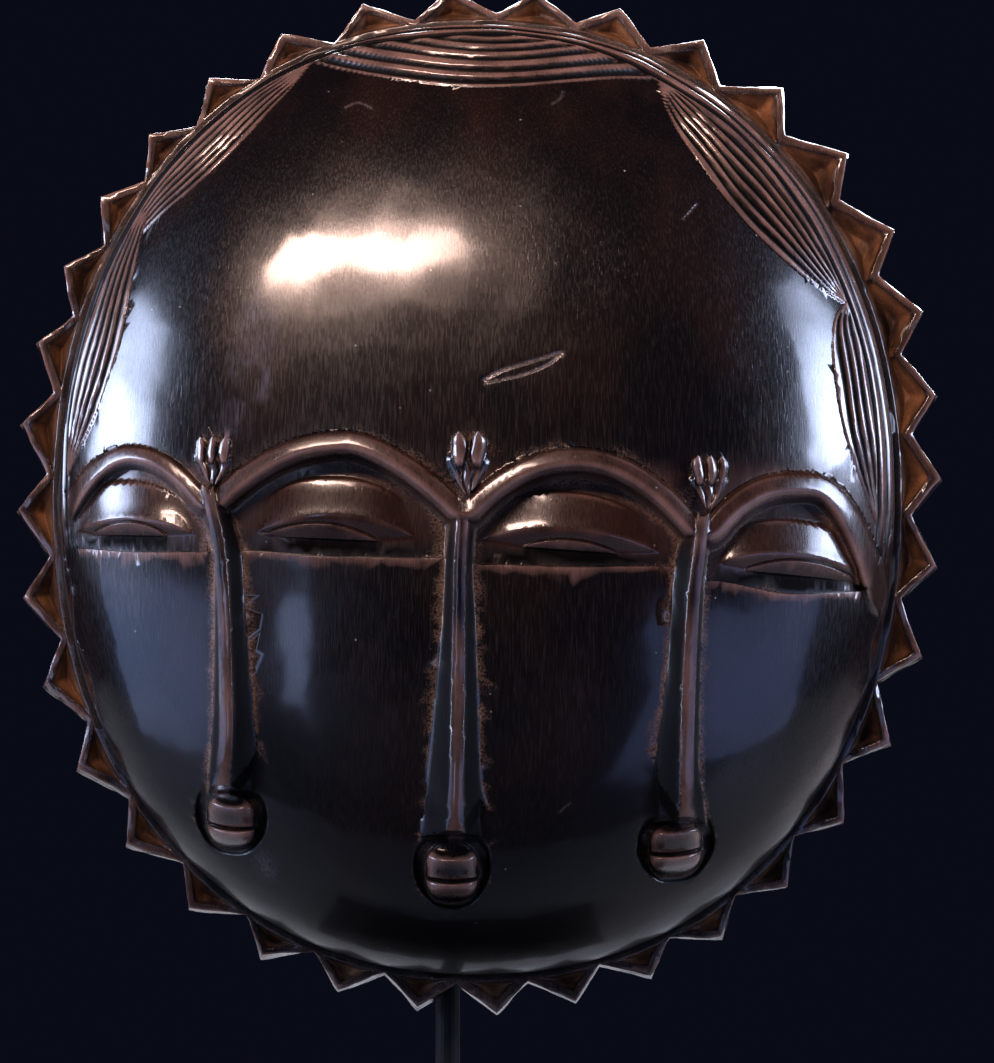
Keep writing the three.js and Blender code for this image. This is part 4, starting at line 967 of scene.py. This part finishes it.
LEVELS = 6
F = 1 << LEVELS
ri, rj, RQ, RT = refine(rim_surface, TEETH, R_TOTAL, rim_floor, 0.20, True, 1.25)
R = rim_surface(ri, rj)
RN = grid_normals(rim_surface, ri, rj, TEETH * F, R_TOTAL * F)
pole = rj == R_TOTAL * F
if pole.any():
    first = np.nonzero(pole)[0][0]
    swap = np.arange(len(R))
    swap[pole] = first
    RQ, RT = swap[RQ], swap[RT]
    RN[pole] = [0, 0, -1]
row = rj / F
sharp = rim_sharp(ri, rj)
depth = np.where((row > 1) & (row < 4), np.clip((RIM - R[:, 2]) / PIT, 0, 1), 0)
# wear and painted highlight: lighter lines along the tooth borders, the back edge and the tooth tips, and lighter tooth
# fronts
edge_wear_and_highlight = np.exp(-((row - 4) / 0.16) ** 2) + 0.8 * np.exp(-((row - 7) / 0.12) ** 2)
tip_line = np.abs((ri / F - 0.5) - np.round(ri / F - 0.5))
edge_wear_and_highlight = np.maximum(edge_wear_and_highlight, np.exp(-(tip_line / 0.02) ** 2) * ((row > 4) & (row < 7)))
flat_front = ((row > 1) & (row <= 4)) * (1 - np.clip(depth * 12, 0, 1))
# painted shade: near black along the ledge under the dome's foot and in the inner end of the tooth pits
rim_painted = dict(dirt=np.clip(np.exp(-((row - 0.9) / 0.5) ** 2) * 0.5 + depth * 0.2, 0, 1),
                 wear_and_highlight=np.clip(edge_wear_and_highlight + 0.38 * flat_front, 0, 1),
                 hair=np.zeros(len(R)), foot=np.zeros(len(R)), painted_sheen=np.zeros(len(R)),
                 painted_shade_layer=np.clip(0.6 * np.exp(-((row - 0.7) / 0.35) ** 2) + 0.62 * ease(3.2, 1.7, row) * ease(0.1, 0.4, depth) * (0.75 + 0.25 * np.sin(ri / F * 2.7)), 0, 1), mark=np.zeros(len(R)), chip=np.zeros(len(R)),
                 back=ease(7.05, 7.4, row), pit=ease(0.02, 0.25, depth))

# front, rim, back and hollow are one carved piece, so they are one mesh
quads = np.concatenate([Q, RQ + len(D)])
tris = np.concatenate([T, RT + len(D)])
used, inv = np.unique(np.concatenate([quads.ravel(), tris.ravel()]), return_inverse=True)
carved = build("mask_carved", np.concatenate([to_row(D), to_row(R)])[used], np.concatenate([turn_row(DN), turn_row(RN)])[used],
               inv[:quads.size].reshape(-1, 4), inv[quads.size:].reshape(-1, 3),
               {k: np.concatenate([painted[k], rim_painted[k]])[used] for k in painted})
thinned(carved, np.concatenate([turn_row(DN), turn_row(RN)])[used], 190000)

for ob in (carved,):
    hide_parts("mask")
    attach(ob, "root")


# ------------------------------------------------------------------ materials
class Nodes:
    def __init__(self, name):
        self.mat = bpy.data.materials.new(name)
        self.mat.use_nodes = True
        self.t = self.mat.node_tree
        self.t.nodes.clear()
        self.out = self.t.nodes.new("ShaderNodeOutputMaterial")
        self.bsdf = self.t.nodes.new("ShaderNodeBsdfPrincipled")
        self.t.links.new(self.bsdf.outputs[0], self.out.inputs[0])

    def new(self, kind, **values):
        n = self.t.nodes.new(kind)
        for k, v in values.items():
            setattr(n, k, v)
        return n

    def link(self, a, b):
        self.t.links.new(a, b)

    def put(self, socket, value):
        if hasattr(value, "is_output"):
            self.link(value, socket)
        else:
            socket.default_value = value

    def math(self, op, a, b=None, c=None, clamp=False):
        n = self.new("ShaderNodeMath", operation=op, use_clamp=clamp)
        for k, v in enumerate((a, b, c)):
            if v is not None:
                self.put(n.inputs[k], v)
        return n.outputs[0]

    def attribute(self, name):
        n = self.new("ShaderNodeAttribute", attribute_name=name)
        return n.outputs["Fac"]

    def coords(self, scale=(1, 1, 1), rotation=(0, 0, 0)):
        tc = self.new("ShaderNodeTexCoord")
        m = self.new("ShaderNodeMapping")
        self.link(tc.outputs["Object"], m.inputs["Vector"])
        m.inputs["Scale"].default_value = scale
        m.inputs["Rotation"].default_value = rotation
        return m.outputs[0]

    def noise(self, vector, scale, detail=4, rough=0.55, distortion=0.0):
        n = self.new("ShaderNodeTexNoise")
        self.link(vector, n.inputs["Vector"])
        n.inputs["Scale"].default_value = scale
        n.inputs["Detail"].default_value = detail
        n.inputs["Roughness"].default_value = rough
        n.inputs["Distortion"].default_value = distortion
        return n.outputs["Fac"]

    def ramp(self, value, lo, hi, a=0.0, b=1.0):
        n = self.new("ShaderNodeMapRange", clamp=True)
        self.put(n.inputs["Value"], value)
        n.inputs["From Min"].default_value = lo
        n.inputs["From Max"].default_value = hi
        n.inputs["To Min"].default_value = a
        n.inputs["To Max"].default_value = b
        return n.outputs["Result"]

    def blend(self, fac, a, b, kind="MIX"):
        n = self.new("ShaderNodeMix", data_type="RGBA", blend_type=kind)
        self.put(n.inputs[0], fac)
        for k, v in ((6, a), (7, b)):
            if hasattr(v, "is_output"):
                self.link(v, n.inputs[k])
            else:
                n.inputs[k].default_value = (*v, 1)
        return n.outputs[2]

    def bump(self, height, strength, distance, normal=None):
        n = self.new("ShaderNodeBump")
        self.put(n.inputs["Height"], height)
        n.inputs["Strength"].default_value = strength
        n.inputs["Distance"].default_value = distance
        if normal is not None:
            self.link(normal, n.inputs["Normal"])
        return n.outputs[0]


def wood_material():
    m = Nodes("dark_polished_wood")
    grain = m.noise(m.coords((1, 1, 0.075)), 1900, 3, 0.6, 0.2)        # fine streaks along the trunk
    pores = m.noise(m.coords((1, 1, 0.06)), 2200, 2, 0.5)
    patch = m.noise(m.coords((1, 1, 0.55)), 26, 5, 0.6)
    patch2 = m.noise(m.coords((1, 1, 0.8)), 75, 4, 0.6)
    speck = m.noise(m.coords(), 1500, 2, 0.5)
    dirt, wear_and_highlight = m.attribute("dirt"), m.attribute("wear_and_highlight")
    pit, back, tress = m.attribute("pit"), m.attribute("back"), m.attribute("hair")

    painted_sheen, painted_shade_layer = m.attribute("painted_sheen"), m.attribute("painted_shade_layer")
    mark, chip = m.attribute("mark"), m.attribute("chip")
    scuff = m.noise(m.coords((1, 1, 0.10), (0, 0.25, 0)), 1500, 2, 0.5)
    dark, brown = (0.0030, 0.0021, 0.0022), (0.0130, 0.0056, 0.0036)
    body = m.blend(m.ramp(patch, 0.45, 0.75), dark, brown)
    # painted sheen: lighter copper on the brows and lids
    body = m.blend(m.math("MULTIPLY", painted_sheen, m.ramp(patch2, 0.2, 0.7, 0.30, 0.90)), body, (0.046, 0.020, 0.0125))
    streak = m.ramp(grain, 0.55, 0.76)
    body = m.blend(m.math("MULTIPLY", streak, m.ramp(patch, 0.35, 0.7, 0.05, 0.40)), body, (0.050, 0.023, 0.016))
    # rubbed edges, partly painted highlight on the tooth borders, nose ridges and hair ribs
    worn_and_lit = m.math("MULTIPLY", wear_and_highlight, m.ramp(patch2, 0.3, 0.65, 0.5, 1.1), clamp=True)
    body = m.blend(m.ramp(worn_and_lit, 0.15, 1.0, 0.0, 0.85), body, (0.260, 0.145, 0.110))
    # ochre dirt in the cuts
    grime = m.math("MULTIPLY", dirt, m.ramp(speck, 0.34, 0.62, 0.25, 1.0), clamp=True)
    grime = m.math("MULTIPLY", grime, m.ramp(patch2, 0.32, 0.58, 0.40, 1.0), clamp=True)
    body = m.blend(m.ramp(grime, 0.20, 0.85, 0.0, 0.9), body, (0.215, 0.125, 0.078))
    clay = m.blend(m.ramp(patch2, 0.38, 0.62), (0.050, 0.022, 0.012), (0.320, 0.145, 0.062))
    body = m.blend(m.math("MULTIPLY", pit, m.ramp(speck, 0.25, 0.6, 0.5, 1.0), clamp=True), body, clay)
    # pale drips, dust in the pores and specks of lint
    drip = m.math("MULTIPLY", mark, m.ramp(scuff, 0.34, 0.58), clamp=True)
    body = m.blend(drip, body, (0.210, 0.190, 0.230))
    body = m.blend(m.math("MULTIPLY", m.math("MULTIPLY", chip, m.ramp(speck, 0.35, 0.6, 0.25, 1.0)), 0.8), body, (0.240, 0.185, 0.160))
    dots = m.new("ShaderNodeTexVoronoi", feature="F1")
    m.link(m.coords(), dots.inputs["Vector"])
    dots.inputs["Scale"].default_value = 210
    lone = m.new("ShaderNodeSeparateColor")
    m.link(dots.outputs["Color"], lone.inputs[0])
    lint = m.math("MULTIPLY", m.ramp(dots.outputs["Distance"], 0.055, 0.085, 1.0, 0.0), m.ramp(lone.outputs[0], 0.90, 0.93))
    body = m.blend(m.math("MULTIPLY", lint, 0.7), body, (0.300, 0.280, 0.290))
    # painted shade: near black where the shade layer is
    body = m.blend(m.math("MULTIPLY", painted_shade_layer, 1.15, clamp=True), body, (0.0020, 0.0014, 0.0013))
    raw = m.blend(m.ramp(grain, 0.35, 0.7), (0.022, 0.011, 0.007), (0.060, 0.032, 0.019))
    body = m.blend(back, body, raw)
    m.link(body, m.bsdf.inputs["Base Color"])

    rough = m.ramp(grain, 0.42, 0.75, 0.22, 0.38)
    rough = m.math("ADD", rough, m.math("MULTIPLY", painted_sheen, 0.04))
    rough = m.math("ADD", rough, m.math("MULTIPLY", grime, 0.25))
    rough = m.math("ADD", rough, m.math("MULTIPLY", pit, 0.22))
    rough = m.math("ADD", rough, m.math("MULTIPLY", painted_shade_layer, 0.40))
    rough = m.math("ADD", rough, m.math("MULTIPLY", back, 0.24), clamp=True)
    m.link(rough, m.bsdf.inputs["Roughness"])
    m.bsdf.inputs["Specular IOR Level"].default_value = 0.32
    coat = m.math("SUBTRACT", 0.84, m.math("MULTIPLY", grime, 0.6))
    coat = m.math("SUBTRACT", coat, m.math("MULTIPLY", pit, 0.55))
    coat = m.math("SUBTRACT", coat, m.math("MULTIPLY", painted_shade_layer, 1.0))
    coat = m.math("SUBTRACT", coat, m.math("MULTIPLY", drip, 0.5))
    coat = m.math("SUBTRACT", coat, m.math("MULTIPLY", painted_sheen, 0.12))
    coat = m.math("SUBTRACT", coat, m.math("MULTIPLY", back, 0.7), clamp=True)
    m.link(coat, m.bsdf.inputs["Coat Weight"])
    # painted shade: a black base without any of the gloss, down in the cuts, on the nose flanks and over the lower face
    m.link(m.math("MULTIPLY", painted_shade_layer, 0.9, clamp=True), m.bsdf.inputs["Metallic"])
    m.bsdf.inputs["Coat Roughness"].default_value = 0.12

    n = m.bump(grain, 0.35, 0.00012)
    n = m.bump(pores, 0.22, 0.00008, n)
    n = m.bump(m.ramp(scuff, 0.60, 0.72), 0.25, 0.00008, n)
    n = m.bump(speck, 0.10, 0.00006, n)
    m.link(n, m.bsdf.inputs["Normal"])
    return m.mat


def steel_material():
    m = Nodes("black_painted_steel")
    cloud = m.noise(m.coords(), 60, 5, 0.6)
    peel = m.noise(m.coords(), 1400, 3, 0.55)
    speck = m.noise(m.coords(), 520, 4, 0.6)
    body = m.blend(m.ramp(cloud, 0.35, 0.7), (0.0040, 0.0040, 0.0050), (0.010, 0.0095, 0.011))
    body = m.blend(m.ramp(speck, 0.66, 0.74, 0, 0.5), body, (0.10, 0.095, 0.09))
    m.link(body, m.bsdf.inputs["Base Color"])
    rough = m.ramp(cloud, 0.3, 0.7, 0.42, 0.58)
    m.link(rough, m.bsdf.inputs["Roughness"])
    m.bsdf.inputs["Specular IOR Level"].default_value = 0.15
    m.link(m.bump(peel, 0.25, 0.0001), m.bsdf.inputs["Normal"])
    return m.mat


wood, steel = wood_material(), steel_material()
for ob in (carved,):
    ob.data.materials.append(wood)
for name in ("stand_rod", "stand_base"):
    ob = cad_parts[name]
    ob.data.materials.clear()
    ob.data.materials.append(steel)

# ------------------------------------------------------------------ stage, light and camera
centre = np.array([MASK_X, MASK_Y, MASK_Z]) / 1000


def plain(name, colour, rough=0.8):
    m = bpy.data.materials.new(name)
    m.use_nodes = True
    b = m.node_tree.nodes["Principled BSDF"]
    b.inputs["Base Color"].default_value = (*colour, 1)
    b.inputs["Roughness"].default_value = rough
    return m


me = bpy.data.meshes.new("floor")
me.from_pydata([(-0.85, -0.27, 0), (0.85, -0.27, 0), (0.85, 1.0, 0), (-0.85, 1.0, 0)], [], [(0, 1, 2, 3)])
floor = bpy.data.objects.new("floor", me)
bpy.context.scene.collection.objects.link(floor)
me.materials.append(plain("floor_pale", (0.46, 0.46, 0.475)))
floor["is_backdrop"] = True


def lamp(name, azimuth, elevation, distance, size, power, colour, spread=180, lift=0.0):
    """A soft panel that faces the mask; azimuth 0 is in front, positive to the right."""
    a, e = math.radians(azimuth), math.radians(elevation)
    d = np.array([math.sin(a) * math.cos(e), -math.cos(a) * math.cos(e), math.sin(e)])
    light = bpy.data.lights.new(name, "AREA")
    light.shape = "RECTANGLE"
    light.size, light.size_y = size
    light.energy = power
    light.color = colour
    light.spread = math.radians(spread)
    ob = bpy.data.objects.new(name, light)
    bpy.context.scene.collection.objects.link(ob)
    ob.location = centre + d * distance
    ob.visible_camera = False
    from mathutils import Vector
    ob.rotation_euler = Vector(np.array([0, 0, lift]) - d * distance).to_track_quat("-Z", "Y").to_euler()
    return ob


lamp("key_panel", -20, 31, 1.5, (0.78, 0.14), 4.6, (1.0, 0.68, 0.57), 50, 0.42)
lamp("left_panel", -84, 20, 1.4, (0.95, 0.72), 8.6, (0.60, 0.70, 1.0), 56, 0.48)
lamp("right_panel", 84, 22, 1.4, (0.80, 0.76), 7.6, (0.60, 0.70, 1.0), 56, 0.48)
lamp("back_panel", 172, 26, 1.5, (0.90, 0.70), 7.0, (0.90, 0.93, 1.0), 90, 0.10)
lamp("low_left", -64, -14, 0.46, (0.40, 0.19), 0.42, (0.38, 0.52, 1.0))
lamp("low_left_near", -21, -4, 1.1, (0.14, 0.24), 0.42, (0.45, 0.58, 1.0))
lamp("low_right", 44, -14, 0.50, (0.46, 0.19), 0.34, (0.36, 0.47, 1.0))

world = bpy.data.worlds.new("soft_room")
bpy.context.scene.world = world
world.use_nodes = True
world.node_tree.nodes["Background"].inputs[0].default_value = (0.0028, 0.0034, 0.0085, 1)
world.node_tree.nodes["Background"].inputs[1].default_value = 1.0

cam_data = bpy.data.cameras.new("camera")
cam_data.sensor_fit = "VERTICAL"
cam_data.sensor_height = 24.0
cam_data.lens = 24.0 * 4650 / 1063
cam = bpy.data.objects.new("camera", cam_data)
bpy.context.scene.collection.objects.link(cam)
tilt = math.radians(-4)
cam.location = centre + 1.55 * np.array([0, -math.cos(tilt), math.sin(tilt)])
aim = centre + np.array([0.01600 / 3, 0, -0.0265 / 3])
from mathutils import Vector
cam.rotation_euler = (Vector(aim) - cam.location).to_track_quat("-Z", "Y").to_euler()
bpy.context.scene.camera = cam

bpy.context.scene.view_settings.view_transform = "Standard"
low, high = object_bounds()
